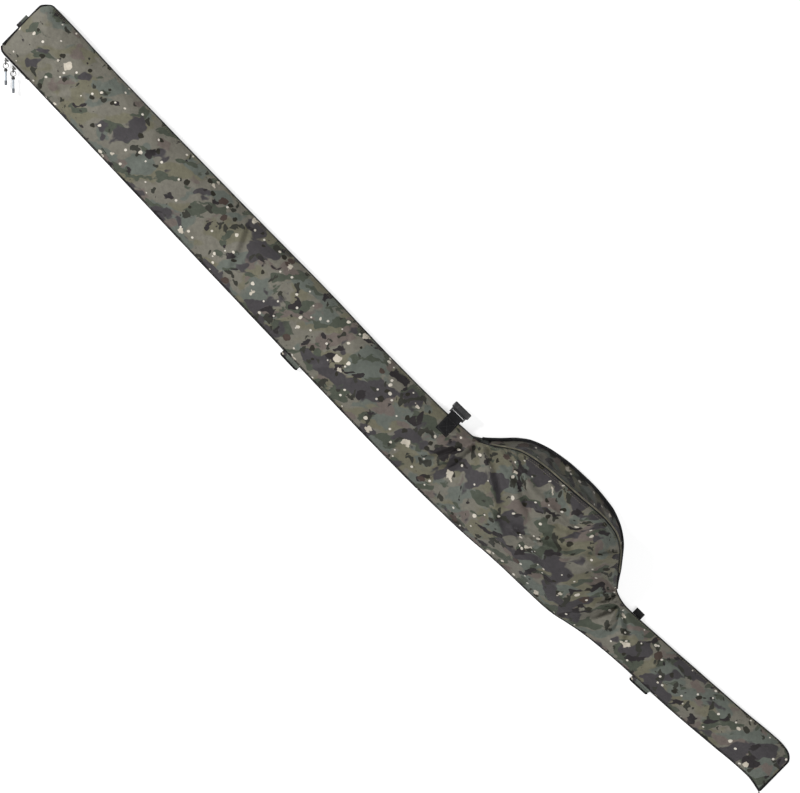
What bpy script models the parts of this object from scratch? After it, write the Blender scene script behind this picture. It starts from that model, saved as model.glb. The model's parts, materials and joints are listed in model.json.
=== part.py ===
"""Padded rod sleeve with a reel pouch, lying on its back panel.

Frame: metres, +X from the tip end to the butt end, +Y towards the side that the reel
pouch bulges to, +Z out of the front face.  Z = 0 is the plane that the back panel
rests on.  All the sizes below are measured in sleeve coordinates, where x = 0 is the
tip end; ORIGIN moves them to the middle of the finished sleeve.

The sleeve is a back half and a front half.  They are joined along the -Y edge by a
fold, and a zip closes the other three sides.  The front half is in two covers, one
for the tip stretch and one for the pouch and butt, because the fold line bends
slightly at the neck of the pouch.
"""
import math

import bmesh
import bpy
from mathutils import Vector

# ---------------------------------------------------------------- driving dimensions
LENGTH = 1.990
ORIGIN = Vector((-0.99225, -0.02026, 0.0))

# Thickness of the layers, and the clearance between pieces that touch.
FABRIC = 0.0012
FOAM = 0.0050
LINING = 0.0010
GAP = 0.0004

# Heights.  The fold line runs along the -Y edge and the zip along the +Y edge.
FOLD_Z = 0.0140
BACK_CURL = 0.028
CROWN = 0.0230
CROWN_REACH = 0.060
POUCH_RISE_REACH = 0.120
END_REACH = 0.060

# Where the front half is split, and the stretch that carries the pouch's side wall.
NECK_X = 1.135
GUSSET_START_X = 1.180
GUSSET_END_X = 1.510
GUSSET_FOOT_Z = 0.0098
GUSSET_STAND_IN = 0.0006
GUSSET_COLUMNS = 4
GUSSET_GAP = 0.0008
GUSSET_FOAM = 0.0040

# Outline knots (x, y).  A smooth monotone curve runs through each list.
FOLD_EDGE = [
    (0.000, -0.0480), (0.008, -0.0555), (0.012, -0.0560), (0.030, -0.0567),
    (0.375, -0.0700), (0.750, -0.0843), (1.150, -0.0955), (1.240, -0.0945),
    (1.340, -0.0890), (1.460, -0.0865), (1.540, -0.0725), (1.610, -0.0650),
    (1.800, -0.0570), (1.955, -0.0456), (1.990, -0.0520),
]
ZIP_EDGE_TIP = [
    (0.000, 0.0560), (0.017, 0.0715), (0.190, 0.0640), (0.560, 0.0545),
    (0.750, 0.0510), (0.936, 0.0442), (1.049, 0.0431), (1.135, 0.0460),
]
ZIP_EDGE_BUTT = [
    (1.573, 0.0197), (1.700, 0.0255), (1.873, 0.0354), (1.955, 0.0415),
    (1.978, 0.0385), (1.990, 0.0270),
]
POUCH_OUTLINE = [
    (1.155, 0.0560), (1.227, 0.1180), (1.285, 0.1345), (1.349, 0.1397),
    (1.420, 0.1340), (1.470, 0.1120), (1.505, 0.0750), (1.537, 0.0300),
]
POUCH_SEAM = [
    (1.155, 0.0480), (1.180, 0.0600), (1.229, 0.0900), (1.272, 0.0985),
    (1.363, 0.1045), (1.418, 0.1085), (1.450, 0.1050), (1.480, 0.0900),
    (1.510, 0.0580), (1.537, 0.0280),
]
BACK_EDGE = ZIP_EDGE_TIP + POUCH_OUTLINE + ZIP_EDGE_BUTT
FRONT_EDGE = ZIP_EDGE_TIP + POUCH_SEAM + ZIP_EDGE_BUTT

# Height of the middle of the zip along the +Y edge, and the pouch's extra crown.
ZIP_HEIGHT = [
    (0.000, 0.0143), (1.135, 0.0143), (1.160, 0.0200), (1.200, 0.0450),
    (1.240, 0.0660), (1.300, 0.0760), (1.400, 0.0760), (1.450, 0.0660),
    (1.490, 0.0450), (1.525, 0.0200), (1.550, 0.0143), (1.990, 0.0143),
]
POUCH_CROWN = [
    (0.000, 0.0), (1.120, 0.0), (1.330, 0.008), (1.540, 0.0), (1.990, 0.0),
]

# Stations along the sleeve, and the columns of a panel in from each long edge.  The
# padding and lining leave out the first and last INNER of both.
TIP_STATIONS = [0.0, 0.007, 0.018, 0.036, 0.070, 0.190, 0.375, 0.560, 0.750, 0.936, 1.049]
NECK_GAP = 0.0004
POUCH_STATIONS = [
    1.155, 1.180, 1.205, 1.229, 1.272, 1.320, 1.363, 1.418, 1.450, 1.480, 1.510, 1.540,
    1.573, 1.640, 1.760, 1.873, 1.930, 1.954, 1.972, 1.983, 1.990,
]
EDGE_COLUMNS = (0.0, 0.007, 0.018, 0.030)
INNER = 2

# Zip: each half is a tape with a nylon coil along its inner edge.
ZIP_TAPE_SPAN = (0.0017, 0.0050)
ZIP_COIL_SPAN = (0.0002, 0.0014)
ZIP_TAPE_DEPTH = (0.0004, 0.0014)
ZIP_COIL_DEPTH = (0.0004, 0.0028)
ZIP_Z_AT_FOLD = 0.0134
ZIP_WRAP_END_X = 0.072
ZIP_END_GAP = 0.0002
ZIP_CORNER_CUT = 0.0020
ZIP_DIP_LENGTH = 0.020
ZIP_STOP_SIZE = (0.004, 0.0030, 0.0055)
ZIP_STOP_Z = 0.0104
ZIP_STOP_BEYOND = 0.0026
ZIP_STOP_IN = 0.0024
ZIP_STOP_BEVEL = 0.0006

# Sliders on the wrapped end of the zip, and their pulls.
SLIDER_X = (0.0250, 0.0455)
SLIDER_SIZE = (0.0095, 0.0030, 0.0068)
SLIDER_Z = 0.0104
SLIDER_STAND_OFF = 0.0032
SLIDER_ARCH = (0.0060, 0.0034, 0.0022)
SLIDER_ARCH_REACH = 0.0014
SLIDER_ARCH_SINK = 0.0004
SLIDER_HOLE_R = 0.0010
SLIDER_HOLE_HALF = 0.0040
SLIDER_BEVEL = 0.0009
SLIDER_ARCH_BEVEL = 0.0005
PULL_ANGLE = math.radians(-45.0)
LINK_LENGTH = 0.0070
LINK_HALF_HEIGHT = 0.0026
LINK_WIRE_R = 0.0005
RING_R = 0.0050
RING_WIRE_R = 0.0006
RING_START = 0.0040
BEAD_R = 0.0024
BEAD_START = 0.0154
BEAD_LENGTH = 0.0045
BEAD_ROUND = 0.0008
STEM_R = 0.0014
STEM_LENGTH = 0.0165
STEM_END_R = 0.0018
STEM_END_LENGTH = 0.0085
STEM_END_ROUND = 0.0012
PULL_PIECE_GAP = 0.0003

# Clip on the tip cover, just before the pouch.
CLIP_X = 1.0935
WEBBING_WIDTH = 0.027
WEBBING = 0.0014
PATCH_REACH = 0.034
PATCH_SHARE = 0.94
PATCH_LIFT = 0.0010
PATCH_THICKNESS = 0.0016
CLIP_PIN_Y = 0.0525
CLIP_PIN_Z = 0.0208
CLIP_PIN_R = 0.0016
WEBBING_LOOP_R = 0.0022
TAIL_IN = 0.0012
TAIL_LIFT = 0.0014
STRAP_TURN = (205.0, 450.0)
BUCKLE_SIDE = 0.0030
BUCKLE_MOUTH_WIDTH = 0.040
BUCKLE_MOUTH_DEPTH = 0.0130
BUCKLE_WAIST_END_Y = 0.0600
BUCKLE_THICKNESS = 0.0090
BUCKLE_MOUTH_BEVEL = 0.0022
BUCKLE_BACK_WALL = 0.0040
BUCKLE_END_WALL = 0.0050
BUCKLE_WALL = 0.0018
BUCKLE_ARM_GAP = 0.0006
BUCKLE_ARM_LAP = 0.0018
BUCKLE_ARM_HEEL = 0.0022
BUCKLE_ARM_HEIGHT = 0.0056
BUCKLE_ARM_BEVEL = 0.0008

# Sewn-on loops and tabs.
TAB_X = (0.798, 1.691)
TAB_LENGTH = 0.044
TAB_REACH = 0.0085
TAB_Z = (0.0052, 0.0076)
TAB_EDGE_WIDTH = 0.0024
TAB_SEWN = 0.0040
TIP_LOOP_Y = 0.014
TIP_LOOP_WIDTH = 0.021
TIP_LOOP_REACH = 0.0085
BUTT_LOOP_X = 1.597
BUTT_LOOP_WIDTH = 0.020
BUTT_LOOP_REACH = 0.0130
BUTT_LOOP_CLEARANCE = 0.0010
LOOP_Z = (0.0030, 0.0064)
LOOP_TAPE = 0.0011
BINDING_Z = (0.0098, 0.0134)
BINDING_WIDTH = 0.0034
BINDING_GAP = 0.0010
BINDING_START = 0.008
BINDING_CLEARANCE = 0.0005
PIPING_R = 0.0014
PIPING_STAND_OFF = 0.0024
PIPING_SIDES = 6

# Inner wear patches at the ends of the back lining.
WEAR_PATCH_START = 0.038
WEAR_PATCH_LENGTH = 0.070
WEAR_PATCH = 0.0010

# ------------------------------------------------------------------------- materials
MATERIALS = {
    "camo_fabric": ((0.135, 0.125, 0.105, 1.0), 0.75, 0.0),
    "foam": ((0.42, 0.42, 0.42, 1.0), 0.95, 0.0),
    "lining": ((0.045, 0.050, 0.045, 1.0), 0.85, 0.0),
    "black_binding": ((0.012, 0.012, 0.013, 1.0), 0.70, 0.0),
    "zip_tape": ((0.016, 0.017, 0.018, 1.0), 0.80, 0.0),
    "zip_coil": ((0.020, 0.021, 0.022, 1.0), 0.45, 0.0),
    "black_webbing": ((0.014, 0.014, 0.015, 1.0), 0.80, 0.0),
    "black_acetal": ((0.015, 0.015, 0.016, 1.0), 0.38, 0.0),
    "nickel": ((0.62, 0.62, 0.60, 1.0), 0.25, 1.0),
    "pull_cord": ((0.36, 0.42, 0.47, 1.0), 0.60, 0.0),
    "pull_end": ((0.10, 0.105, 0.11, 1.0), 0.50, 0.0),
}


def clear_scene():
    for item in list(bpy.data.objects):
        bpy.data.objects.remove(item, do_unlink=True)


def material(name):
    found = bpy.data.materials.get(name)
    if found:
        return found
    colour, roughness, metallic = MATERIALS[name]
    made = bpy.data.materials.new(name)
    made.use_nodes = True
    shader = made.node_tree.nodes["Principled BSDF"]
    shader.inputs["Base Color"].default_value = colour
    shader.inputs["Roughness"].default_value = roughness
    shader.inputs["Metallic"].default_value = metallic
    return made


# ------------------------------------------------------------------- curves and shape
def through(knots, x):
    """Value at x of the smooth curve through the knots, with no overshoot."""
    if x <= knots[0][0]:
        return knots[0][1]
    if x >= knots[-1][0]:
        return knots[-1][1]
    index = max(i for i in range(len(knots) - 1) if knots[i][0] <= x)
    x0, y0 = knots[index]
    x1, y1 = knots[index + 1]
    width = x1 - x0
    slope0 = knot_slope(knots, index)
    slope1 = knot_slope(knots, index + 1)
    s = (x - x0) / width
    rise = y0 * (1 + 2 * s) * (1 - s) ** 2 + y1 * s * s * (3 - 2 * s)
    return rise + width * (slope0 * s * (1 - s) ** 2 - slope1 * s * s * (1 - s))


def knot_slope(knots, index):
    """Slope at a knot: the harmonic mean of its two chords, or zero at a peak."""
    if index in (0, len(knots) - 1):
        near = 1 if index == 0 else index
        return chord(knots, near)
    before = chord(knots, index)
    after = chord(knots, index + 1)
    if before * after <= 0:
        return 0.0
    return 2 * before * after / (before + after)


def chord(knots, index):
    (x0, y0), (x1, y1) = knots[index - 1], knots[index]
    return (y1 - y0) / (x1 - x0)


def swell(distance, reach):
    """How far a padded panel has risen at a distance in from its edge, 0 to 1."""
    s = min(max(distance / reach, 0.0), 1.0)
    return 1.0 - (1.0 - s) ** 2.4


def front_z(x, y):
    """Outer surface of the front half."""
    from_fold = y - through(FOLD_EDGE, x)
    from_zip = through(FRONT_EDGE, x) - y
    from_end = min(x, LENGTH - x)
    fold_edge_z = FOLD_Z + GAP + FABRIC
    zip_edge_z = through(ZIP_HEIGHT, x) + ZIP_TAPE_SPAN[1] + GAP + FABRIC
    base = fold_edge_z + (zip_edge_z - fold_edge_z) * swell(from_fold, POUCH_RISE_REACH)
    crown = CROWN + through(POUCH_CROWN, x)
    crown *= swell(from_fold, CROWN_REACH) * swell(from_zip, CROWN_REACH) * swell(from_end, END_REACH)
    return base + crown


def back_z(x, y):
    """Outer surface of the back half: flat, and curled up to the edges."""
    from_fold = y - through(FOLD_EDGE, x)
    from_zip = through(BACK_EDGE, x) - y
    from_end = min(x, LENGTH - x)
    fold_rim = FOLD_Z - GAP - FABRIC
    zip_rim = through(ZIP_HEIGHT, 0.0) - ZIP_TAPE_SPAN[1] - GAP - FABRIC
    share = from_fold / (from_fold + from_zip)
    rim = fold_rim + (zip_rim - fold_rim) * share
    inward = min(from_fold, from_zip, from_end)
    return rim * (1.0 - min(max(inward / BACK_CURL, 0.0), 1.0)) ** 2


# -------------------------------------------------------------------- mesh builders
def add_object(name, verts, faces, slot, smooth=True):
    """One closed solid, with its faces turned outward."""
    mesh = bpy.data.meshes.new(name)
    mesh.from_pydata([tuple(Vector(v) + ORIGIN) for v in verts], [], faces)
    work = bmesh.new()
    work.from_mesh(mesh)
    bmesh.ops.recalc_face_normals(work, faces=work.faces)
    work.to_mesh(mesh)
    work.free()
    mesh.materials.append(material(slot))
    if smooth:
        mesh.shade_smooth()
        mesh.set_sharp_from_angle(angle=math.radians(35))
    item = bpy.data.objects.new(name, mesh)
    bpy.context.collection.objects.link(item)
    return item


def columns(low, high, middle_count):
    """Places across a panel: fixed distances in from its edges, then even steps."""
    first = low + EDGE_COLUMNS[-1]
    last = high - EDGE_COLUMNS[-1]
    step = (last - first) / (middle_count + 1)
    middle = [first + step * (i + 1) for i in range(middle_count)]
    return [low + d for d in EDGE_COLUMNS] + middle + [high - d for d in reversed(EDGE_COLUMNS)]


def sheet_faces(rows, across):
    """Faces of a closed sheet: a top grid, then a bottom grid, joined round the rim.

    Every sheet is split into triangles the same way, so that stacked sheets stay apart.
    """
    count = rows * across
    faces = []
    for i in range(rows - 1):
        for j in range(across - 1):
            a = i * across + j
            for half in ((a, a + 1, a + across + 1), (a, a + across + 1, a + across)):
                faces.append(half)
                faces.append(tuple(count + v for v in reversed(half)))
    rim = [i * across for i in range(rows)]
    rim += [(rows - 1) * across + j for j in range(1, across)]
    rim += [i * across + across - 1 for i in range(rows - 2, -1, -1)]
    rim += [j for j in range(across - 2, 0, -1)]
    for a, b in zip(rim, rim[1:] + rim[:1]):
        faces.append((a, b, count + b, count + a))
    return faces


def layer(name, slot, stations, middle_count, edges, skip, surface, start, thickness):
    """A sheet behind an outer surface, from start to start + thickness away from it.

    skip is how many columns it leaves out along each long edge.  A negative start and
    thickness put the sheet under the surface, and positive ones put it above.
    """
    grid = []
    for x in stations:
        low, high = (through(edge, x) for edge in edges)
        places = columns(low, high, middle_count)
        grid.append([(x, y) for y in places[skip:len(places) - skip]])
    verts = []
    for offset in (max(start, start + thickness), min(start, start + thickness)):
        verts += [(x, y, surface(x, y) + offset) for row in grid for x, y in row]
    return add_object(name, verts, sheet_faces(len(grid), len(grid[0])), slot)


def loft(name, slot, rings, smooth=True):
    """A solid through a row of matching rings, with a flat cap at each end."""
    size = len(rings[0])
    verts = [point for ring in rings for point in ring]
    faces = [tuple(range(size)), tuple(range(len(verts) - size, len(verts)))]
    for i in range(len(rings) - 1):
        for j in range(size):
            k = (j + 1) % size
            faces.append((i * size + j, i * size + k, (i + 1) * size + k, (i + 1) * size + j))
    return add_object(name, verts, faces, slot, smooth)


def block(name, slot, centre, size, bevel=0.0):
    """A box with bevelled edges, given its middle and its full size."""
    work = bmesh.new()
    bmesh.ops.create_cube(work, size=1.0)
    bmesh.ops.scale(work, vec=size, verts=work.verts)
    if bevel:
        bmesh.ops.bevel(work, geom=work.edges[:], offset=bevel, segments=2, profile=0.7, affect="EDGES")
    bmesh.ops.translate(work, vec=Vector(centre), verts=work.verts)
    verts = [tuple(v.co) for v in work.verts]
    faces = [tuple(v.index for v in face.verts) for face in work.faces]
    work.free()
    return add_object(name, verts, faces, slot)


def side_outline(x_from, x_to, edge):
    """Points of an edge between two places: both ends and the stations in between."""
    inner = [x for x in TIP_STATIONS + POUCH_STATIONS if x_from < x < x_to]
    return [Vector((x, through(edge, x))) for x in [x_from] + inner + [x_to]]


def ribbon(name, slot, path, heights, depth, span, side=1):
    """A band on its edge along a flat path: depth is outward of it, span above it.

    Outward is on the right of the path, or on its left if side is -1.
    """
    rings = []
    for i, point in enumerate(path):
        before = path[max(i - 1, 0)]
        after = path[min(i + 1, len(path) - 1)]
        along = (after - before).normalized()
        out = Vector((along.y, -along.x)) * side
        near = point + out * depth[0]
        far = point + out * depth[1]
        low = heights[i] + span[0]
        high = heights[i] + span[1]
        rings.append([
            (near.x, near.y, low), (far.x, far.y, low), (far.x, far.y, high), (near.x, near.y, high),
        ])
    return loft(name, slot, rings)


def boolean(target, tool, operation):
    """Applies a boolean with another object, which is then removed."""
    modifier = target.modifiers.new("cut", "BOOLEAN")
    modifier.operation = operation
    modifier.object = tool
    modifier.solver = "EXACT"
    view = bpy.context.evaluated_depsgraph_get()
    result = bpy.data.meshes.new_from_object(target.evaluated_get(view))
    target.modifiers.clear()
    target.data = result
    bpy.data.objects.remove(tool, do_unlink=True)
    return target


# --------------------------------------------------------------------- the back half
def build_back():
    stations = TIP_STATIONS + [NECK_X] + POUCH_STATIONS
    inner = stations[INNER:-INNER]
    edges = (FOLD_EDGE, BACK_EDGE)
    layer("back_shell", "camo_fabric", stations, 1, edges, 0, back_z, 0.0, FABRIC)
    start = FABRIC + GAP
    layer("back_padding", "foam", inner, 1, edges, INNER, back_z, start, FOAM)
    start += FOAM + GAP
    layer("back_lining", "lining", inner, 1, edges, INNER, back_z, start, LINING)
    start += LINING + GAP
    first = WEAR_PATCH_START
    last = LENGTH - first
    ends = {
        "tip_wear_patch": (first, first + WEAR_PATCH_LENGTH),
        "butt_wear_patch": (last - WEAR_PATCH_LENGTH, last),
    }
    for name, places in ends.items():
        layer(name, "black_webbing", places, 1, edges, 3, back_z, start, WEAR_PATCH)


def build_gusset():
    """The pouch's side wall, from the back panel's edge in to the zip."""
    stations = [x for x in POUCH_STATIONS if GUSSET_START_X <= x <= GUSSET_END_X]
    wall = []
    for x in stations:
        foot = through(BACK_EDGE, x) - GUSSET_STAND_IN
        head = through(FRONT_EDGE, x) - GUSSET_STAND_IN
        head_z = through(ZIP_HEIGHT, x) - ZIP_TAPE_SPAN[1] - GAP
        for i in range(GUSSET_COLUMNS):
            share = i / (GUSSET_COLUMNS - 1)
            z = GUSSET_FOOT_Z + (head_z - GUSSET_FOOT_Z) * share
            wall.append((x, foot + (head - foot) * share, z))
    layers = (("pouch_gusset", "camo_fabric", 0.0, FABRIC),
              ("pouch_gusset_padding", "foam", FABRIC + GUSSET_GAP, GUSSET_FOAM))
    for name, slot, start, thickness in layers:
        verts = [(x, y - start, z) for x, y, z in wall]
        verts += [(x, y - start - thickness, z) for x, y, z in wall]
        add_object(name, verts, sheet_faces(len(stations), GUSSET_COLUMNS), slot)


# ------------------------------------------------------------------------- the zip
def end_path(x, outward, count=7):
    """Points across a closed end, from the fold corner to the zip corner."""
    low = through(FOLD_EDGE, x) + ZIP_CORNER_CUT
    high = through(FRONT_EDGE, x) - ZIP_CORNER_CUT
    return [Vector((x + outward, low + (high - low) * i / (count - 1))) for i in range(count)]


def fold_share(y, x):
    low = through(FOLD_EDGE, x)
    high = through(FRONT_EDGE, x)
    return (y - low) / (high - low)


def zip_height_at(point):
    """The zip dips slightly where it nears the fold at either end."""
    x = min(max(point.x, 0.0), LENGTH)
    edge = through(ZIP_HEIGHT, x)
    if ZIP_DIP_LENGTH < x < LENGTH - ZIP_DIP_LENGTH and point.y > 0:
        return edge
    share = min(max(fold_share(point.y, x), 0.0), 1.0)
    return ZIP_Z_AT_FOLD + (edge - ZIP_Z_AT_FOLD) * share


def zip_runs():
    """Flat paths of the zip, clockwise seen from above, so that outward is on the left."""
    tip_edge = side_outline(0.0, NECK_X - NECK_GAP / 2, FRONT_EDGE)
    pouch_edge = side_outline(NECK_X + NECK_GAP / 2, LENGTH, FRONT_EDGE)
    tip_end = end_path(0.0, -ZIP_END_GAP)
    butt_end = list(reversed(end_path(LENGTH, ZIP_END_GAP)))
    wrap = list(reversed(side_outline(0.0, ZIP_WRAP_END_X, FOLD_EDGE)))
    return wrap, tip_end + tip_edge, pouch_edge + butt_end


def below(span):
    return (-span[1], -span[0])


def build_zip():
    wrap, tip, pouch = zip_runs()
    halves = (
        ("lower_zip", wrap + tip + pouch[1:], below),
        ("tip_cover_zip", tip, tuple),
        ("pouch_cover_zip", pouch, tuple),
    )
    for name, path, side in halves:
        heights = [zip_height_at(point) for point in path]
        for piece, slot, depth, span in (
            ("tape", "zip_tape", ZIP_TAPE_DEPTH, ZIP_TAPE_SPAN),
            ("coil", "zip_coil", ZIP_COIL_DEPTH, ZIP_COIL_SPAN),
        ):
            ribbon(name + "_" + piece, slot, path, heights, depth, side(span), -1)


def build_zip_stops():
    depth = 0.5 * ZIP_STOP_SIZE[1] + GAP
    tip_y = through(FOLD_EDGE, ZIP_WRAP_END_X) - depth
    place = (ZIP_WRAP_END_X + ZIP_STOP_BEYOND, tip_y, ZIP_STOP_Z)
    block("zip_stop_tip", "nickel", place, ZIP_STOP_SIZE, ZIP_STOP_BEVEL)
    size = (ZIP_STOP_SIZE[1], ZIP_STOP_SIZE[0], ZIP_STOP_SIZE[2])
    place = (LENGTH + depth, through(FOLD_EDGE, LENGTH) - ZIP_STOP_IN, ZIP_STOP_Z)
    block("zip_stop_butt", "nickel", place, size, ZIP_STOP_BEVEL)


def build_bindings():
    """Black tape bound round the seam allowance along the fold."""
    low, high = BINDING_Z
    runs = {
        "tip_binding": side_outline(ZIP_WRAP_END_X + BINDING_START, NECK_X, FOLD_EDGE),
        "butt_binding": side_outline(NECK_X + BINDING_GAP, LENGTH, FOLD_EDGE),
    }
    for name, path in runs.items():
        flat = [0.0] * len(path)
        ribbon(name, "black_binding", path, flat, (BINDING_CLEARANCE, BINDING_WIDTH), (low, high))


# --------------------------------------------------------------------- front covers
def build_cover(name, stations, inner):
    edges = (FOLD_EDGE, FRONT_EDGE)
    layer(name + "_shell", "camo_fabric", stations, 2, edges, 0, front_z, 0.0, -FABRIC)
    start = FABRIC + GAP
    layer(name + "_padding", "foam", inner, 2, edges, INNER, front_z, -start, -FOAM)
    start += FOAM + GAP
    layer(name + "_lining", "lining", inner, 2, edges, INNER, front_z, -start, -LINING)


def build_covers():
    tip = TIP_STATIONS + [NECK_X - NECK_GAP / 2]
    pouch = [NECK_X + NECK_GAP / 2] + POUCH_STATIONS
    build_cover("tip_cover", tip, tip[INNER:])
    build_cover("pouch_cover", pouch, pouch[:-INNER])


def build_piping():
    """Thin cord sewn along the pouch panel's seam, just above the zip."""
    path = side_outline(GUSSET_START_X, GUSSET_END_X, FRONT_EDGE)
    rings = []
    for i, point in enumerate(path):
        along = (path[min(i + 1, len(path) - 1)] - path[max(i - 1, 0)]).normalized()
        out = Vector((-along.y, along.x))
        seam_z = front_z(point.x, point.y)
        ring = []
        for j in range(PIPING_SIDES):
            angle = 2 * math.pi * j / PIPING_SIDES
            place = point + out * (PIPING_STAND_OFF + PIPING_R * math.cos(angle))
            ring.append((place.x, place.y, seam_z + PIPING_R * math.sin(angle)))
        rings.append(ring)
    loft("pouch_piping", "black_binding", rings)


# --------------------------------------------------------------- loops, tabs and clip
def build_tabs():
    names = ("tip_side_tab", "butt_side_tab")
    low, high = TAB_Z
    for name, middle in zip(names, TAB_X):
        path = side_outline(middle - TAB_LENGTH / 2, middle + TAB_LENGTH / 2, FOLD_EDGE)
        flat = [0.0] * len(path)
        ribbon(name, "camo_fabric", path, flat, (-TAB_SEWN, TAB_REACH), (low, high))
        edge = (TAB_REACH + GAP, TAB_REACH + GAP + TAB_EDGE_WIDTH)
        ribbon(name + "_edge", "black_binding", path, flat, edge, (low - GAP, high + GAP))


def flat_loop(name, slot, base, across, out, width, reach):
    """A strap folded in two and sewn down: a U of tape standing out from an edge."""
    low, high = LOOP_Z
    thickness = LOOP_TAPE
    arc = 8
    middle = (low + high) / 2
    outer_r = (high - low) / 2
    inner_r = outer_r - thickness
    profile = [(0.0, high)]
    profile += [(reach - outer_r + outer_r * math.sin(math.pi * i / arc),
                 middle + outer_r * math.cos(math.pi * i / arc)) for i in range(arc + 1)]
    profile += [(0.0, low), (0.0, low + thickness)]
    profile += [(reach - outer_r + inner_r * math.sin(math.pi * i / arc),
                 middle - inner_r * math.cos(math.pi * i / arc)) for i in range(arc + 1)]
    profile += [(0.0, high - thickness)]
    rings = []
    for side in (-0.5, 0.5):
        rings.append([tuple(base + out * r + across * (width * side) + Vector((0, 0, z)))
                      for r, z in profile])
    return loft(name, slot, rings)


def build_loops():
    along = Vector((0.0, 1.0, 0.0))
    base = Vector((-GAP, TIP_LOOP_Y, 0.0))
    out = Vector((-1.0, 0.0, 0.0))
    flat_loop("tip_loop", "camo_fabric", base, along, out, TIP_LOOP_WIDTH, TIP_LOOP_REACH)
    edge = Vector((BUTT_LOOP_X, through(BACK_EDGE, BUTT_LOOP_X) + BUTT_LOOP_CLEARANCE, 0.0))
    flat_loop("butt_loop", "black_webbing", edge, Vector((1.0, 0.0, 0.0)), Vector((0.0, 1.0, 0.0)),
              BUTT_LOOP_WIDTH, BUTT_LOOP_REACH)


def build_clip_patch():
    """Square of webbing sewn on the front face, over the clip's strap."""
    edge = through(FRONT_EDGE, CLIP_X)
    xs = [CLIP_X + WEBBING_WIDTH * (i / 4 - 0.5) for i in range(5)]
    ys = [edge - PATCH_REACH * (1.0 - PATCH_SHARE * j / 5) for j in range(6)]
    verts = []
    for lift in (PATCH_LIFT + PATCH_THICKNESS, PATCH_LIFT):
        verts += [(x, y, front_z(x, y) + lift) for x in xs for y in ys]
    add_object("clip_patch", verts, sheet_faces(len(xs), len(ys)), "black_webbing")


def build_clip_webbing():
    """The strap's end, turned round the buckle's pin and led back to the patch."""
    arc = 14
    inner = WEBBING_LOOP_R
    outer = WEBBING_LOOP_R + WEBBING
    edge = through(FRONT_EDGE, CLIP_X)
    tail_y = edge - TAIL_IN
    tail_z = front_z(CLIP_X, tail_y) + TAIL_LIFT
    first, last = STRAP_TURN
    turn = [math.radians(first + (last - first) * i / arc) for i in range(arc + 1)]
    outline = [(tail_y, tail_z)]
    outline += [(CLIP_PIN_Y + outer * math.cos(a), CLIP_PIN_Z + outer * math.sin(a)) for a in turn]
    outline += [(tail_y, tail_z + WEBBING)]
    rings = [[(CLIP_X + WEBBING_WIDTH * side, y, z) for y, z in outline] for side in (-0.5, 0.5)]
    strap = loft("clip_webbing", "black_webbing", rings)
    hole = rod_between("hole", "black_webbing", inner, WEBBING_WIDTH * 1.4)
    return boolean(strap, hole, "DIFFERENCE")


def rod_between(name, slot, radius, length, sides=14):
    """A round bar on the clip's pin line."""
    rings = []
    for side in (-0.5, 0.5):
        ring = []
        for i in range(sides):
            angle = 2 * math.pi * i / sides
            y = CLIP_PIN_Y + radius * math.cos(angle)
            ring.append((CLIP_X + length * side, y, CLIP_PIN_Z + radius * math.sin(angle)))
        rings.append(ring)
    return loft(name, slot, rings)


def build_buckle():
    """Socket half of a side-release buckle: a pin, two arms, and a wide mouth."""
    arm_x = WEBBING_WIDTH / 2 + BUCKLE_ARM_GAP + BUCKLE_SIDE / 2
    pin = rod_between("clip_buckle", "black_acetal", CLIP_PIN_R, 2 * arm_x + BUCKLE_SIDE / 2)
    arm_length = BUCKLE_WAIST_END_Y - CLIP_PIN_Y + BUCKLE_ARM_LAP + BUCKLE_ARM_HEEL
    arm_y = CLIP_PIN_Y - BUCKLE_ARM_HEEL + arm_length / 2
    for side in (-1, 1):
        arm = block("arm", "black_acetal", (CLIP_X + side * arm_x, arm_y, CLIP_PIN_Z),
                    (BUCKLE_SIDE, arm_length, BUCKLE_ARM_HEIGHT), BUCKLE_ARM_BEVEL)
        boolean(pin, arm, "UNION")
    mouth_y = BUCKLE_WAIST_END_Y + BUCKLE_MOUTH_DEPTH / 2
    mouth = block("mouth", "black_acetal", (CLIP_X, mouth_y, CLIP_PIN_Z),
                  (BUCKLE_MOUTH_WIDTH, BUCKLE_MOUTH_DEPTH, BUCKLE_THICKNESS), BUCKLE_MOUTH_BEVEL)
    boolean(pin, mouth, "UNION")
    slot = block("slot", "black_acetal", (CLIP_X, mouth_y + BUCKLE_BACK_WALL, CLIP_PIN_Z),
                 (BUCKLE_MOUTH_WIDTH - 2 * BUCKLE_END_WALL, BUCKLE_MOUTH_DEPTH,
                  BUCKLE_THICKNESS - 2 * BUCKLE_WALL))
    return boolean(pin, slot, "DIFFERENCE")


# ------------------------------------------------------------------ sliders and pulls
def slider_anchor(x):
    """Middle of the arch's hole: the line that the pull swings about."""
    y = through(FOLD_EDGE, x) - SLIDER_STAND_OFF - SLIDER_SIZE[1] - SLIDER_ARCH_REACH
    return Vector((x, y, SLIDER_Z))


def build_slider(number, x):
    edge = through(FOLD_EDGE, x)
    body_y = edge - SLIDER_STAND_OFF - SLIDER_SIZE[1] / 2
    body = block("slider_%d" % number, "nickel", (x, body_y, SLIDER_Z), SLIDER_SIZE, SLIDER_BEVEL)
    anchor = slider_anchor(x)
    middle = (anchor.x, anchor.y + SLIDER_ARCH_SINK, anchor.z)
    arch = block("arch", "nickel", middle, SLIDER_ARCH, SLIDER_ARCH_BEVEL)
    boolean(body, arch, "UNION")
    rings = []
    for z in (-SLIDER_HOLE_HALF, SLIDER_HOLE_HALF):
        rings.append([(anchor.x + SLIDER_HOLE_R * math.cos(2 * math.pi * i / 12),
                       anchor.y + SLIDER_HOLE_R * math.sin(2 * math.pi * i / 12), anchor.z + z)
                      for i in range(12)])
    hole = loft("hole", "nickel", rings)
    return boolean(body, hole, "DIFFERENCE")


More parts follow.
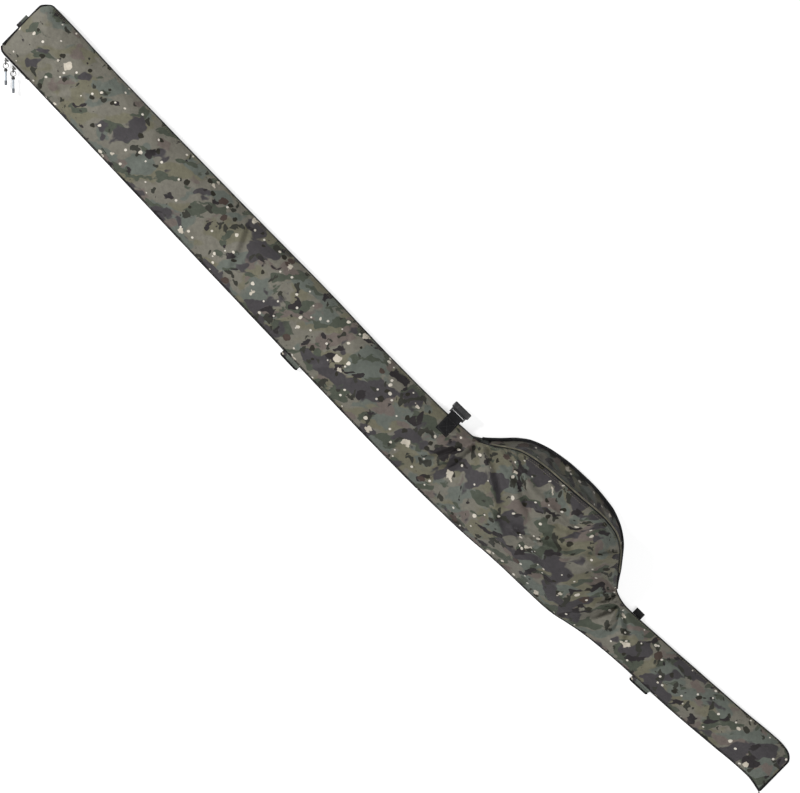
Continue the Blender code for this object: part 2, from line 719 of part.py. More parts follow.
def tube_loop(name, slot, centre_line, normals, radius, sides=8):
    """A closed ring of round wire along a closed centre line."""
    count = len(centre_line)
    verts = []
    for point, (first, second) in zip(centre_line, normals):
        for j in range(sides):
            angle = 2 * math.pi * j / sides
            shift = first * math.cos(angle) + second * math.sin(angle)
            verts.append(tuple(point + shift * radius))
    faces = []
    for i in range(count):
        k = (i + 1) % count
        for j in range(sides):
            m = (j + 1) % sides
            faces.append((i * sides + j, i * sides + m, k * sides + m, k * sides + j))
    return add_object(name, verts, faces, slot)


def wire_loop(name, anchor, along, up, half_length, half_width, radius, start):
    """A stadium of wire in the plane of along and up, starting at a distance out."""
    count = 20
    straight = max(half_length - half_width, 0.0)
    side = along.cross(up)
    line = []
    normals = []
    for i in range(count):
        angle = 2 * math.pi * (i + 0.5) / count
        shift = math.copysign(straight, math.cos(angle))
        direction = along * math.cos(angle) + up * math.sin(angle)
        middle = anchor + along * (start + half_length + shift)
        line.append(middle + direction * half_width)
        normals.append((direction, side))
    return tube_loop(name, "nickel", line, normals, radius)


def turned(name, slot, anchor, along, start, profile, sides=12):
    """A round piece turned about the pull's axis, from (distance, radius) pairs."""
    up = Vector((0.0, 0.0, 1.0))
    side = along.cross(up)
    rings = []
    for distance, radius in profile:
        middle = anchor + along * (start + distance)
        rings.append([tuple(middle + side * (radius * math.cos(2 * math.pi * i / sides))
                            + up * (radius * math.sin(2 * math.pi * i / sides))) for i in range(sides)])
    return loft(name, slot, rings)


def build_pull(number, x):
    anchor = slider_anchor(x)
    along = Vector((math.cos(PULL_ANGLE), math.sin(PULL_ANGLE), 0.0))
    up = Vector((0.0, 0.0, 1.0))
    side = along.cross(up)
    tag = "pull_%d_" % number
    wire_loop(tag + "link", anchor, along, up, LINK_LENGTH / 2, LINK_HALF_HEIGHT, LINK_WIRE_R, 0.0)
    wire_loop(tag + "ring", anchor, along, side, RING_R, RING_R, RING_WIRE_R, RING_START)
    r = BEAD_R
    bead = [(0.0, r * 0.6), (BEAD_ROUND, r), (BEAD_LENGTH - BEAD_ROUND, r), (BEAD_LENGTH, r * 0.6)]
    turned(tag + "bead", "black_acetal", anchor, along, BEAD_START, bead)
    stem_start = BEAD_START + BEAD_LENGTH + PULL_PIECE_GAP
    turned(tag + "stem", "pull_cord", anchor, along, stem_start, [(0.0, STEM_R), (STEM_LENGTH, STEM_R)])
    end_start = stem_start + STEM_LENGTH + PULL_PIECE_GAP
    r = STEM_END_R
    end = [(0.0, r * 0.8), (STEM_END_ROUND, r), (STEM_END_LENGTH - STEM_END_ROUND, r),
           (STEM_END_LENGTH, r * 0.5)]
    turned(tag + "end", "pull_end", anchor, along, end_start, end)


def main():
    clear_scene()
    build_back()
    build_gusset()
    build_zip()
    build_zip_stops()
    build_bindings()
    build_covers()
    build_piping()
    build_tabs()
    build_loops()
    build_clip_patch()
    build_clip_webbing()
    build_buckle()
    for number, x in enumerate(SLIDER_X, start=1):
        build_slider(number, x)
        build_pull(number, x)


main()
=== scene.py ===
"""Looks of the padded rod sleeve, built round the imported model.

Everything is in metres in the row frame: +X from the tip end to the butt end, +Y towards
the side that the reel pouch bulges to, +Z out of the front face.
"""

import json
import math

import bmesh
import bpy
import numpy as np
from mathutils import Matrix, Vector


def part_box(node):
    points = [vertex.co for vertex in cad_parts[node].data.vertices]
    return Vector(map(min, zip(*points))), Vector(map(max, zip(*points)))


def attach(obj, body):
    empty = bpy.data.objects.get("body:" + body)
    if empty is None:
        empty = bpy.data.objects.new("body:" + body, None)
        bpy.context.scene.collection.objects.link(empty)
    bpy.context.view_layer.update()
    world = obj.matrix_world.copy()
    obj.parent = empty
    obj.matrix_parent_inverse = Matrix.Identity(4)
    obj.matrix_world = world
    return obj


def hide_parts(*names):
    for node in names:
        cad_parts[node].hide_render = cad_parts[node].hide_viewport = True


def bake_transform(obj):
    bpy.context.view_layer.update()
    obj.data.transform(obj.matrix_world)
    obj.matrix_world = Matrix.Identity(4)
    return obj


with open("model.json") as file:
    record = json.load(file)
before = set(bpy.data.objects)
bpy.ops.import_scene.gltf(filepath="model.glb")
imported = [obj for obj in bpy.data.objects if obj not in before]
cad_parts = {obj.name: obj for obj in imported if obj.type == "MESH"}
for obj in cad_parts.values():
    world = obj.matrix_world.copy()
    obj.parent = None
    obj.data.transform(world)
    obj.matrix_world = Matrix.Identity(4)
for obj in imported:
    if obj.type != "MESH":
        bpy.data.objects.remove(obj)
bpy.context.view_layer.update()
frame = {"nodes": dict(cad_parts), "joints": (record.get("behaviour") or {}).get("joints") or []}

# ------------------------------------------------------------------ driving dimensions
# Thicknesses of the layers, and the play between them.
FABRIC = 0.0012
FOAM = 0.0050
LINING = 0.0010
GAP = 0.0004
TAPE = 0.0007
COLLIDER_DROP = 0.0016
INNER_INSET = 0.016

# The swelling of the front half, and how far in from each edge it takes to rise.
FOLD_Z = 0.0140
CROWN = 0.0230
CROWN_REACH = 0.060
POUCH_RISE_REACH = 0.120
END_REACH = 0.060
BACK_CURL = 0.028
BACK_ZIP_RIM = 0.0077
SEAM_HOLD = 0.014
BEND_WIDTH = 0.010

TIP_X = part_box("back_shell")[0][0]
BUTT_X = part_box("back_shell")[1][0]
NECK_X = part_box("tip_cover_shell")[1][0]
LENGTH = BUTT_X - TIP_X
POUCH_MIDDLE = 1.350
POUCH_HALF = 0.24

# Grid sizes: the front fabric, the layers inside it, and the edge tapes.
ROW_STEP = 0.0030
INNER_STEP = 0.0052
EDGE_STEP = 0.0024
COLUMN_COUNT = 66
INNER_COLUMNS = 34

# Creases of the front fabric: angle, size across and along, seed, height on the straight
# stretches, and what the loose pouch adds to it.
CREASES = ((0.9, 0.034, 0.120, 11, 0.0016, 0.0040), (-0.7, 0.026, 0.100, 23, 0.0014, 0.0034))
# Its gentler unevenness: size in x and in y, seed and height.
UNEVENNESS = ((0.085, 0.060, 31, 0.0040), (0.022, 0.026, 37, 0.0012))
# Gathers beside the seams of the front and of the back.
FRONT_GATHER = 0.0026
BACK_GATHER = 0.0009
# How much of the front's wrinkles the stiff webbing sewn on it follows.
WEBBING_DETAIL = 0.55

# The loose stretch of cloth that is simulated, measured from the tip end.
LOOSE_FROM = 1.030
LOOSE_TO = 1.640
CLOTH_FRAMES = 34
MOST_MOVED = 0.008
SLACK = 0.030
POUCH_SLACK = 0.075

# The zip: its coil lies this far below the fabric's rim, and lower beside the fold.
ZIP_BELOW_RIM = 0.0066
ZIP_Z_AT_FOLD = 0.0134
ZIP_WRAP_END_X = TIP_X + 0.072
END_GAP = 0.0002
CORNER_CUT = 0.0020

# The view: straight down on the front face, turned in the picture plane.
VIEW_TURN = math.radians(44.46)
VIEW_CENTRE = (0.0002, -0.0157, 0.030)
VIEW_WIDTH = 1.4935
VIEW_HEIGHT = 6.0
SENSOR = 36.0

# Folds of the front fabric: start, end, half width and height, with the ends measured from
# the tip end and from the sleeve's own line.  They fan out from the two ends of the pouch's
# seam, and cross the loose middle of the pouch.
SLEEVE_Y = -0.02026
FOLD_GAIN = 1.9
FOLDS = [
    (1.163, 0.036, 1.150, -0.042, 0.0080, -0.0040),
    (1.166, 0.046, 1.292, -0.038, 0.0100, 0.0056),
    (1.172, 0.052, 1.262, 0.046, 0.0080, -0.0040),
    (1.200, 0.068, 1.352, 0.012, 0.0085, -0.0056),
    (1.402, 0.060, 1.284, 0.046, 0.0085, 0.0046),
    (1.312, -0.026, 1.436, 0.014, 0.0075, 0.0050),
    (1.362, -0.026, 1.432, -0.054, 0.0080, -0.0046),
    (1.252, -0.030, 1.440, -0.072, 0.0110, 0.0034),
    (1.487, 0.092, 1.430, 0.016, 0.0075, -0.0044),
    (1.536, 0.032, 1.436, 0.022, 0.0075, 0.0046),
    (1.135, 0.020, 1.085, -0.060, 0.0070, 0.0035),
    (1.128, 0.034, 1.060, -0.010, 0.0060, 0.0025),
    (1.150, 0.036, 1.128, -0.048, 0.0060, 0.0040),
    (1.540, 0.032, 1.502, -0.016, 0.0060, 0.0048),
    (1.547, 0.026, 1.519, -0.030, 0.0060, 0.0048),
    (1.553, 0.016, 1.504, -0.056, 0.0065, 0.0044),
    (1.558, 0.010, 1.568, -0.048, 0.0060, 0.0036),
    (1.565, 0.006, 1.615, -0.040, 0.0060, 0.0030),
    (0.560, 0.036, 0.602, -0.060, 0.0070, 0.0020),
    (0.350, 0.030, 0.310, -0.040, 0.0080, 0.0018),
    (0.140, -0.046, 0.215, 0.020, 0.0090, 0.0018),
    (0.840, -0.070, 0.905, 0.010, 0.0090, 0.0020),
    (1.700, 0.014, 1.672, -0.040, 0.0060, 0.0020),
    (1.850, -0.040, 1.905, 0.020, 0.0070, 0.0018),
]


# ------------------------------------------------------------------- outlines from CAD
def columns_by_station(node):
    """The node's vertices grouped by their place along the sleeve."""
    stations = {}
    for vertex in frame["nodes"][node].data.vertices:
        stations.setdefault(round(vertex.co.x, 4), []).append(vertex.co)
    return stations


def edge_knots(nodes, side):
    """(x, y, z) of the outermost points along one long edge of these nodes."""
    knots = {}
    for node in nodes:
        for x, points in columns_by_station(node).items():
            reach = max(side * p.y for p in points)
            rim = [p for p in points if side * p.y > reach - 1e-4]
            knots[x] = (side * reach, max(p.z for p in rim))
    xs = sorted(knots)
    return np.array([(x, *knots[x]) for x in xs])


class Curve:
    """A smooth curve through knots, with no overshoot between them."""

    def __init__(self, xs, values):
        self.xs = np.asarray(xs, float)
        self.values = np.asarray(values, float)
        chords = np.diff(self.values) / np.diff(self.xs)
        slopes = np.concatenate([chords[:1], chords[:-1], chords[-1:]])
        before, after = chords[:-1], chords[1:]
        same = before * after > 0
        total = np.where(same, before + after, 1.0)
        slopes[1:-1] = np.where(same, 2 * before * after / total, 0.0)
        self.slopes = slopes

    def __call__(self, x):
        x = np.clip(np.asarray(x, float), self.xs[0], self.xs[-1])
        i = np.clip(np.searchsorted(self.xs, x, side="right") - 1, 0, len(self.xs) - 2)
        width = self.xs[i + 1] - self.xs[i]
        s = (x - self.xs[i]) / width
        low, high = self.values[i], self.values[i + 1]
        rise = low * (1 + 2 * s) * (1 - s) ** 2 + high * s * s * (3 - 2 * s)
        bend = self.slopes[i] * s * (1 - s) ** 2 - self.slopes[i + 1] * s * s * (1 - s)
        return rise + width * bend


fold_knots = edge_knots(("back_shell",), -1)
back_knots = edge_knots(("back_shell",), 1)
front_knots = edge_knots(("tip_cover_shell", "pouch_cover_shell"), 1)
fold_edge = Curve(fold_knots[:, 0], fold_knots[:, 1])
back_edge = Curve(back_knots[:, 0], back_knots[:, 1])
front_edge = Curve(front_knots[:, 0], front_knots[:, 1])
front_rim = Curve(front_knots[:, 0], front_knots[:, 2])
pouch_crown = Curve([TIP_X, 0.128, 0.338, 0.548, BUTT_X], [0.0, 0.0, -0.005, 0.0, 0.0])


def joint_named(name):
    """A joint's entry in the frame."""
    return next(joint for joint in frame["joints"] if joint["name"] == name)


def pivot_of(name):
    """A joint's place at rest."""
    return Vector(joint_named(name)["pos_m"])


# ------------------------------------------------------------------------ soft shapes
def unit(vectors):
    """The same directions at length 1."""
    return vectors / np.maximum(np.linalg.norm(vectors, axis=-1, keepdims=True), 1e-9)


def lengths_along(points):
    """Distance of each point from the first one, along the line through them all."""
    steps = np.linalg.norm(np.diff(points, axis=0), axis=1)
    return np.concatenate([[0.0], np.cumsum(steps)])


def eased(share):
    """A share from 0 to 1 that starts and stops gently."""
    share = np.clip(share, 0.0, 1.0)
    return share * share * (3 - 2 * share)


def swell(distance, reach):
    """How much of its full height the padding has reached, this far in from an edge."""
    s = np.clip(distance / reach, 0.0, 1.0)
    return 1.0 - (1.0 - s) ** 2.4


def lattice_noise(x, y, seed):
    """Smooth noise from 0 to 1, with one random value at each whole step of x and y."""
    table = np.random.default_rng(seed).random((256, 256))
    xi, yi = np.floor(x).astype(int), np.floor(y).astype(int)
    fx, fy = eased(x - xi), eased(y - yi)
    a = table[xi % 256, yi % 256]
    b = table[(xi + 1) % 256, yi % 256]
    c = table[xi % 256, (yi + 1) % 256]
    d = table[(xi + 1) % 256, (yi + 1) % 256]
    return (a * (1 - fx) + b * fx) * (1 - fy) + (c * (1 - fx) + d * fx) * fy


def creases(x, y, angle, across, along, seed):
    """Ridges running at an angle to the sleeve: across and along are their sizes."""
    u = (x * math.cos(angle) + y * math.sin(angle)) / along
    v = (-x * math.sin(angle) + y * math.cos(angle)) / across
    bend = 1.6 * lattice_noise(u * 0.9, v * 0.35, seed + 1)
    value = lattice_noise(u + 7.0, v + bend, seed)
    return (1.0 - np.abs(2.0 * value - 1.0)) ** 2.0


def fold_height(x, y):
    """Sum of the listed folds: each a crisp ridge with a softer valley beside it."""
    total = np.zeros_like(x)
    for x0, y0, x1, y1, width, height in FOLDS:
        ax, ay, bx, by = x0 + TIP_X, y0 + SLEEVE_Y, x1 + TIP_X, y1 + SLEEVE_Y
        dx, dy = bx - ax, by - ay
        length = math.hypot(dx, dy)
        along = ((x - ax) * dx + (y - ay) * dy) / length ** 2
        wave = 0.10 * length * np.sin(along * 4.0 + x0 * 30.0) * along
        off = ((x - ax) * -dy + (y - ay) * dx) / length + wave * 0.5
        spread = width * (0.55 + 0.9 * np.clip(along, 0.0, 1.2))
        fade = np.clip((along + 0.12) / 0.2, 0, 1) * np.clip((1.15 - along) / 0.5, 0, 1)
        ridge = np.exp(1.0 - np.sqrt(1.0 + (2.2 * off / spread) ** 2))
        valley = 0.7 * np.exp(-((off - 1.7 * spread) / (1.1 * spread)) ** 2)
        total += height * eased(fade) * (ridge - valley)
    return total


def edge_distances(x, y, high):
    """Distances in from the fold, from the edge opposite it, and from the nearer end."""
    return y - fold_edge(x), high(x) - y, np.minimum(x - TIP_X, BUTT_X - x)


def seam_hold(x, y, high):
    """0 at the panel's edges and 1 a little way in, so that seams stay where they are."""
    from_fold, from_zip, from_end = edge_distances(x, y, high)
    return eased(np.minimum(np.minimum(from_fold, from_zip), from_end) / SEAM_HOLD)


def pouch_share(x):
    """1 over the reel pouch, falling to 0 on the straight stretches."""
    place = (x - TIP_X - POUCH_MIDDLE) / POUCH_HALF
    return np.clip(1.35 - place ** 2 * 1.35, 0.0, 1.0)


def pucker(x, distance, seed):
    """Small gathers that the stitching pulls into the fabric beside a seam."""
    value = lattice_noise(x / 0.011, np.zeros_like(x) + 0.5, seed) - 0.5
    value += 0.6 * (lattice_noise(x / 0.023, np.zeros_like(x) + 0.5, seed + 5) - 0.5)
    return value * np.exp(-np.maximum(distance, 0.0) / 0.010)


def fold_lift(x, y):
    """How far the listed folds raise the front fabric."""
    return FOLD_GAIN * fold_height(x, y) * seam_hold(x, y, front_edge)


def smooth_z(x, y, detail=1.0):
    """Outer surface of the front half with a share of its wrinkles, before its folds."""
    from_fold, from_zip, from_end = edge_distances(x, y, front_edge)
    base_low = FOLD_Z + GAP + FABRIC
    base = base_low + (front_rim(x) - base_low) * swell(from_fold, POUCH_RISE_REACH)
    crown = CROWN + pouch_crown(x)
    crown = crown * swell(from_fold, CROWN_REACH) * swell(from_zip, CROWN_REACH)
    crown = crown * swell(from_end, END_REACH)
    loose = pouch_share(x)
    waves = 0.0
    for angle, across, along, seed, height, loose_height in CREASES:
        ridges = creases(x, y, angle, across, along, seed) - 0.35
        waves = waves + (height + loose_height * loose) * ridges
    for size_x, size_y, seed, height in UNEVENNESS:
        waves = waves + height * (lattice_noise(x / size_x, y / size_y, seed) - 0.5)
    gathers = FRONT_GATHER * pucker(x, from_zip, 41) + FRONT_GATHER * pucker(x, from_fold, 43)
    soft = np.clip(np.minimum(from_fold, from_zip) / 0.004, 0.0, 1.0)
    return base + crown + (waves * seam_hold(x, y, front_edge) + gathers * soft) * detail


def front_z(x, y, detail=1.0):
    """Outer surface of the front half, with a share of its wrinkles and folds."""
    return smooth_z(x, y, detail) + detail * fold_lift(x, y)


def rest_z(x, y):
    """What the front fabric rests on where it has no folds."""
    return np.minimum(smooth_z(x, y, 0.5), smooth_z(x, y, 1.0))


def padding_z(x, y):
    """Top of the padding: smoother than the fabric, and never above it."""
    lift = fold_lift(x, y)
    return rest_z(x, y) + np.minimum(lift, lift / 2)


def back_z(x, y):
    """Outer surface of the back half: flat where it lies, curled up to the edges."""
    from_fold, from_zip, from_end = edge_distances(x, y, back_edge)
    fold_rim = FOLD_Z - GAP - FABRIC
    rim = fold_rim + (BACK_ZIP_RIM - fold_rim) * from_fold / (from_fold + from_zip)
    inward = np.minimum(np.minimum(from_fold, from_zip), from_end)
    s = np.clip(inward / BACK_CURL, 0.0, 1.0)
    gathers = BACK_GATHER * pucker(x, from_zip, 53) + BACK_GATHER * pucker(x, from_fold, 59)
    return rim * (1.0 - s) ** 2 + np.maximum(gathers, 0.0) * np.clip(s * 8, 0, 1)


# ----------------------------------------------------------------------- mesh builders
def make_object(name, verts, faces, rest=None, sharp=50):
    """A mesh object whose flat pattern is kept on its points, for the materials to read."""
    mesh = bpy.data.meshes.new(name)
    mesh.from_pydata([tuple(v) for v in verts], [], [tuple(f) for f in faces])
    mesh.update()
    flat = mesh.attributes.new("rest", "FLOAT_VECTOR", "POINT")
    places = np.asarray(verts if rest is None else rest, np.float32)
    flat.data.foreach_set("vector", places.ravel())
    mesh.shade_smooth()
    mesh.set_sharp_from_angle(angle=math.radians(sharp))
    item = bpy.data.objects.new(name, mesh)
    bpy.context.scene.collection.objects.link(item)
    return item


def grid_normals(grid):
    """Unit normals at the points of a grid."""
    return unit(np.cross(np.gradient(grid, axis=0), np.gradient(grid, axis=1)))


def flat_pattern(grid, seed):
    """The grid rolled out flat: along the sleeve, and along the fabric across it."""
    steps = np.linalg.norm(np.diff(grid, axis=1), axis=2)
    across = np.concatenate([np.zeros((len(grid), 1)), np.cumsum(steps, axis=1)], axis=1)
    return np.stack([grid[..., 0], across, np.full(across.shape, float(seed))], axis=2)


def sheet_faces(rows, cols):
    """Quads between the points of a grid."""
    i, j = np.meshgrid(np.arange(rows - 1), np.arange(cols - 1), indexing="ij")
    a = (i * cols + j).ravel()
    return np.stack([a, a + cols, a + cols + 1, a + 1], axis=1)


def closed_sheet(name, outer, thickness, side, seed=0.0, normals=None):
    """A sheet of even thickness behind a grid of points, on the side given (1 or -1)."""
    rows, cols = outer.shape[:2]
    normal = grid_normals(outer) if normals is None else normals
    inner = outer + normal * (thickness * side)
    verts = np.concatenate([outer.reshape(-1, 3), inner.reshape(-1, 3)])
    rest = flat_pattern(outer, seed).reshape(-1, 3)
    count = rows * cols
    up = sheet_faces(rows, cols)
    rim = [r * cols for r in range(rows)]
    rim += [(rows - 1) * cols + c for c in range(1, cols)]
    rim += [r * cols + cols - 1 for r in range(rows - 2, -1, -1)]
    rim += list(range(cols - 2, 0, -1))
    a, b = np.array(rim), np.array(rim[1:] + rim[:1])
    walls = np.stack([b, a, a + count, b + count], axis=1)
    faces = np.concatenate([up, up[:, ::-1] + count, walls])
    if side > 0:
        faces = faces[:, ::-1]
    return make_object(name, verts, faces.tolist(), np.concatenate([rest, rest]))


def spread(count, ease=0.35):
    """Shares from 0 to 1 that crowd a little towards both ends."""
    t = np.linspace(0.0, 1.0, count)
    return t - ease * np.sin(2 * math.pi * t) / (2 * math.pi)


def station_rows(x_from, x_to, step=ROW_STEP):
    """Evenly spaced stations along the sleeve, at least four of them."""
    return np.linspace(x_from, x_to, max(int((x_to - x_from) / step), 4))


def panel_grid(x, low, high, surface, drop, inset=0.0, columns=COLUMN_COUNT):
    """Points of a panel at these stations, a distance above its outer surface."""
    lo, hi = low(x) + inset, high(x) - inset
    grid_x = np.repeat(x[:, None], columns, axis=1)
    grid_y = lo[:, None] + (hi - lo)[:, None] * spread(columns)[None, :]
    return np.stack([grid_x, grid_y, surface(grid_x, grid_y) + drop], axis=2)


def swept(name, rings, closed=False):
    """A solid through matching rings of points, given as (stations, points, 3)."""
    rings = np.asarray(rings, float)
    count, size = rings.shape[:2]
    faces = []
    for i in range(count if closed else count - 1):
        n = (i + 1) % count
        for k in range(size):
            m = (k + 1) % size
            faces.append((i * size + k, n * size + k, n * size + m, i * size + m))
    if not closed:
        faces.append(tuple(range(size)))
        faces.append(tuple(range(count * size - 1, (count - 1) * size - 1, -1)))
    along = lengths_along(rings.mean(axis=1))
    legs = np.linalg.norm(np.diff(rings, axis=1), axis=2).mean(axis=0)
    around = np.concatenate([[0.0], np.cumsum(legs)])
    rest = np.stack([np.repeat(along, size), np.tile(around, count), np.zeros(count * size)], axis=1)
    item = make_object(name, rings.reshape(-1, 3), faces, rest)
    centre = Vector(rings.reshape(-1, 3).mean(axis=0))
    if sum(p.area * p.normal.dot(p.center - centre) for p in item.data.polygons) < 0:
        item.data.flip_normals()
    return item


def outline_normals(path):
    """Unit vectors to the right of a flat path."""
    along = unit(np.gradient(path, axis=0))
    return np.stack([along[:, 1], -along[:, 0]], axis=1)


def set_out(path, profile):
    """Sections from (out, z) pairs, each a number or one value for every path point."""
    ones = np.ones(len(path))
    return np.stack([np.stack([ones * out, ones * z], axis=1) for out, z in profile], axis=1)


def thick_section(points, thickness):
    """Closed sections: open lines of (out, z) points, made a tape thick on their left."""
    along = unit(np.gradient(points, axis=1))
    left = np.stack([-along[..., 1], along[..., 0]], axis=2)
    back = (points + left * thickness)[:, ::-1]
    return np.concatenate([points, back], axis=1)


def along_path(path, sections):
    """Rings in space: each section's (out, z) points set out from its path point."""
    out = outline_normals(path)
    flat = path[:, None, :] + out[:, None, :] * sections[..., :1]
    return np.concatenate([flat, sections[..., 1:]], axis=2)


def tube(name, path, radius, sides, closed=False):
    """A round tube along a path of points."""
    path = np.asarray(path, float)
    around = np.roll(path, -1, axis=0) - np.roll(path, 1, axis=0)
    along = unit(around if closed else np.gradient(path, axis=0))
    up = np.tile([0.0, 0.0, 1.0], (len(path), 1))
    up[np.abs(along[:, 2]) > 0.9] = (1.0, 0.0, 0.0)
    out = unit(np.cross(along, up))
    up = np.cross(out, along)
    radius = np.broadcast_to(np.asarray(radius, float), (len(path),))[:, None]
    angles = [2 * math.pi * k / sides for k in range(sides)]
    rings = [path + (out * math.cos(angle) + up * math.sin(angle)) * radius for angle in angles]
    return swept(name, np.stack(rings, axis=1), closed)


def stitches(name, points, normals=None, length=0.0028, pitch=0.0044, radius=0.00038):
    """A row of thread stitches along a path, each sinking into the cloth at both ends."""
    points = np.asarray(points, float)
    normals = np.tile([0.0, 0.0, 1.0], (len(points), 1)) if normals is None else normals
    place = lengths_along(points)

    def at(distance, values):
        return np.array([np.interp(distance, place, values[:, k]) for k in range(3)])

    verts, faces = [], []
    for start in np.arange(0.0, place[-1] - length, pitch):
        first = len(verts)
        for share, lift in ((0.0, -0.0003), (0.25, 0.00022), (0.75, 0.00022), (1.0, -0.0003)):
            distance = start + length * share
            middle, up = at(distance, points), at(distance, normals)
            side = np.cross(at(distance + 1e-4, points) - middle, up)
            side /= max(np.linalg.norm(side), 1e-9)
            middle = middle + up * lift
            verts += [middle + side * radius, middle + up * radius,
                      middle - side * radius, middle - up * radius]
        for r in range(3):
            for k in range(4):
                a, b = first + r * 4 + k, first + r * 4 + (k + 1) % 4
                faces.append((a, a + 4, b + 4, b))
    return make_object(name, verts, faces, sharp=80)


def paint(item, material):
    """Gives an item this material and no other."""
    item.data.materials.clear()
    item.data.materials.append(material)


def join_pieces(name, parts):
    """One object out of (object, material) pairs, each keeping its own material."""
    bpy.ops.object.select_all(action="DESELECT")
    for item, material in parts:
        paint(item, material)
        item.select_set(True)
    first = parts[0][0]
    bpy.context.view_layer.objects.active = first
    if len(parts) > 1:
        bpy.ops.object.join()
    first.name = first.data.name = name
    return first


def moulding(name, centre, size, bevel, segments):
    """A moulded block with rounded edges."""
    work = bmesh.new()
    bmesh.ops.create_cube(work, size=1.0)
    bmesh.ops.scale(work, vec=size, verts=work.verts)
    bmesh.ops.bevel(work, geom=work.edges[:], offset=bevel, segments=segments, profile=0.6, affect="EDGES")
    bmesh.ops.translate(work, vec=Vector(centre), verts=work.verts)
    verts = [tuple(v.co) for v in work.verts]
    faces = [tuple(v.index for v in face.verts) for face in work.faces]
    work.free()
    return make_object(name, verts, faces, sharp=40)


def combined(target, tool, operation):
    """Applies a boolean with another object, which is then removed."""
    modifier = target.modifiers.new("cut", "BOOLEAN")
    modifier.operation = operation
    modifier.object = tool
    modifier.solver = "EXACT"
    view = bpy.context.evaluated_depsgraph_get()
    result = bpy.data.meshes.new_from_object(target.evaluated_get(view))
    target.modifiers.clear()
    target.data = result
    bpy.data.objects.remove(tool, do_unlink=True)


def add_block(body, *shape):
    """Joins a moulded block, given as place, size, bevel and segments, to a body."""
    combined(body, moulding("block", *shape), "UNION")


def cut_block(body, *shape):
    """Cuts such a block out of a body."""
    combined(body, moulding("block", *shape), "DIFFERENCE")


def finish_cuts(item, sharp=40):
    """Smooth shading and the flat pattern again, after the booleans."""
    item.data.shade_smooth()
    item.data.set_sharp_from_angle(angle=math.radians(sharp))
    places = [tuple(vertex.co) for vertex in item.data.vertices]
    flat = item.data.attributes.get("rest") or item.data.attributes.new("rest", "FLOAT_VECTOR", "POINT")
    flat.data.foreach_set("vector", np.asarray(places, np.float32).ravel())


# --------------------------------------------------------------------------- materials
class Graph:
    """A short way to write a material's nodes."""

    def __init__(self, name):
        self.material = bpy.data.materials.new(name)
        self.material.use_nodes = True
        self.tree = self.material.node_tree
        self.shader = self.tree.nodes["Principled BSDF"]

    def put(self, socket, value):
        if isinstance(value, bpy.types.NodeSocket):
            self.tree.links.new(value, socket)
        else:
            socket.default_value = value

    def set(self, **inputs):
        """Values or links for the shader's own sockets."""
        for key, value in inputs.items():
            self.put(self.shader.inputs[key.replace("_", " ")], value)

    def node(self, kind, settings=None, numbered=(), **inputs):
        """A node, with its settings and then its inputs by number and by name."""
        made = self.tree.nodes.new("ShaderNode" + kind)
        for key, value in (settings or {}).items():
            setattr(made, key, value)
        for index, value in enumerate(numbered):
            self.put(made.inputs[index], value)
        for key, value in inputs.items():
            self.put(made.inputs[key.replace("_", " ")], value)
        return made

    def rest(self):
        return self.node("Attribute", {"attribute_name": "rest"}).outputs["Vector"]

    def mapped(self, vector, scale=(1, 1, 1), location=(0, 0, 0), angle=0.0):
        made = self.node("Mapping", Vector=vector, Scale=scale, Location=location, Rotation=(0, 0, angle))
        return made.outputs["Vector"]

    def noise(self, vector, scale, detail=2.0, roughness=0.5):
        made = self.node("TexNoise", Vector=vector, Scale=scale, Detail=detail, Roughness=roughness)
        return made.outputs["Fac"]

    def math(self, operation, first, second=0.0):
        return self.node("Math", {"operation": operation}, (first, second)).outputs[0]

    def vector_math(self, operation, *numbered, **inputs):
        return self.node("VectorMath", {"operation": operation}, numbered, **inputs).outputs[0]

    def warped(self, place, scale, amount):
        """The place pushed about by noise."""
        warp = self.node("TexNoise", Vector=place, Scale=scale, Detail=2.0, Roughness=0.5)
        offset = self.vector_math("SUBTRACT", warp.outputs["Color"], (0.5, 0.5, 0.5))
        return self.vector_math("ADD", place, self.vector_math("SCALE", offset, Scale=amount))

    def step(self, value, edge, softness):
        """0 below the edge and 1 above it."""
        made = self.node("MapRange", {"interpolation_type": "SMOOTHSTEP"}, Value=value,
                         From_Min=edge - softness, From_Max=edge + softness)
        return made.outputs["Result"]

    def ranged(self, value, low, high, from_min=0.0, from_max=1.0):
        made = self.node("MapRange", Value=value, From_Min=from_min, From_Max=from_max,
                         To_Min=low, To_Max=high)
        return made.outputs["Result"]

    def mix(self, factor, first, second, blend="MIX"):
        made = self.node("Mix", {"data_type": "RGBA", "blend_type": blend})
        for index, value in ((0, factor), (6, first), (7, second)):
            self.put(made.inputs[index], value)
        return made.outputs[2]

    def shaded(self, colour, value):
        """The colour times a grey value."""
        grey = self.node("CombineColor", None, (value, value, value))
        return self.mix(1.0, colour, grey.outputs[0], "MULTIPLY")

    def bump(self, height, distance, strength, **normal):
        made = self.node("Bump", Height=height, Distance=distance, Strength=strength, **normal)
        return made.outputs["Normal"]

    def weave(self, coords, pitch):
        """Over-and-under threads of a plain weave."""
        parts = self.node("SeparateXYZ", Vector=coords)
        warp, weft = (self.math("SINE", self.math("MULTIPLY", parts.outputs[k], 2 * math.pi / pitch))
                      for k in range(2))
        return self.math("MULTIPLY", warp, weft)


def srgb(red, green, blue):
    """Linear colour from 0 to 255 display values."""
    def linear(v):
        v /= 255.0
        return v / 12.92 if v <= 0.04045 else ((v + 0.055) / 1.055) ** 2.4
    return (linear(red), linear(green), linear(blue), 1.0)


# A dye is entered this much darker than it should look, because the lamps brighten it.
INK = 0.66


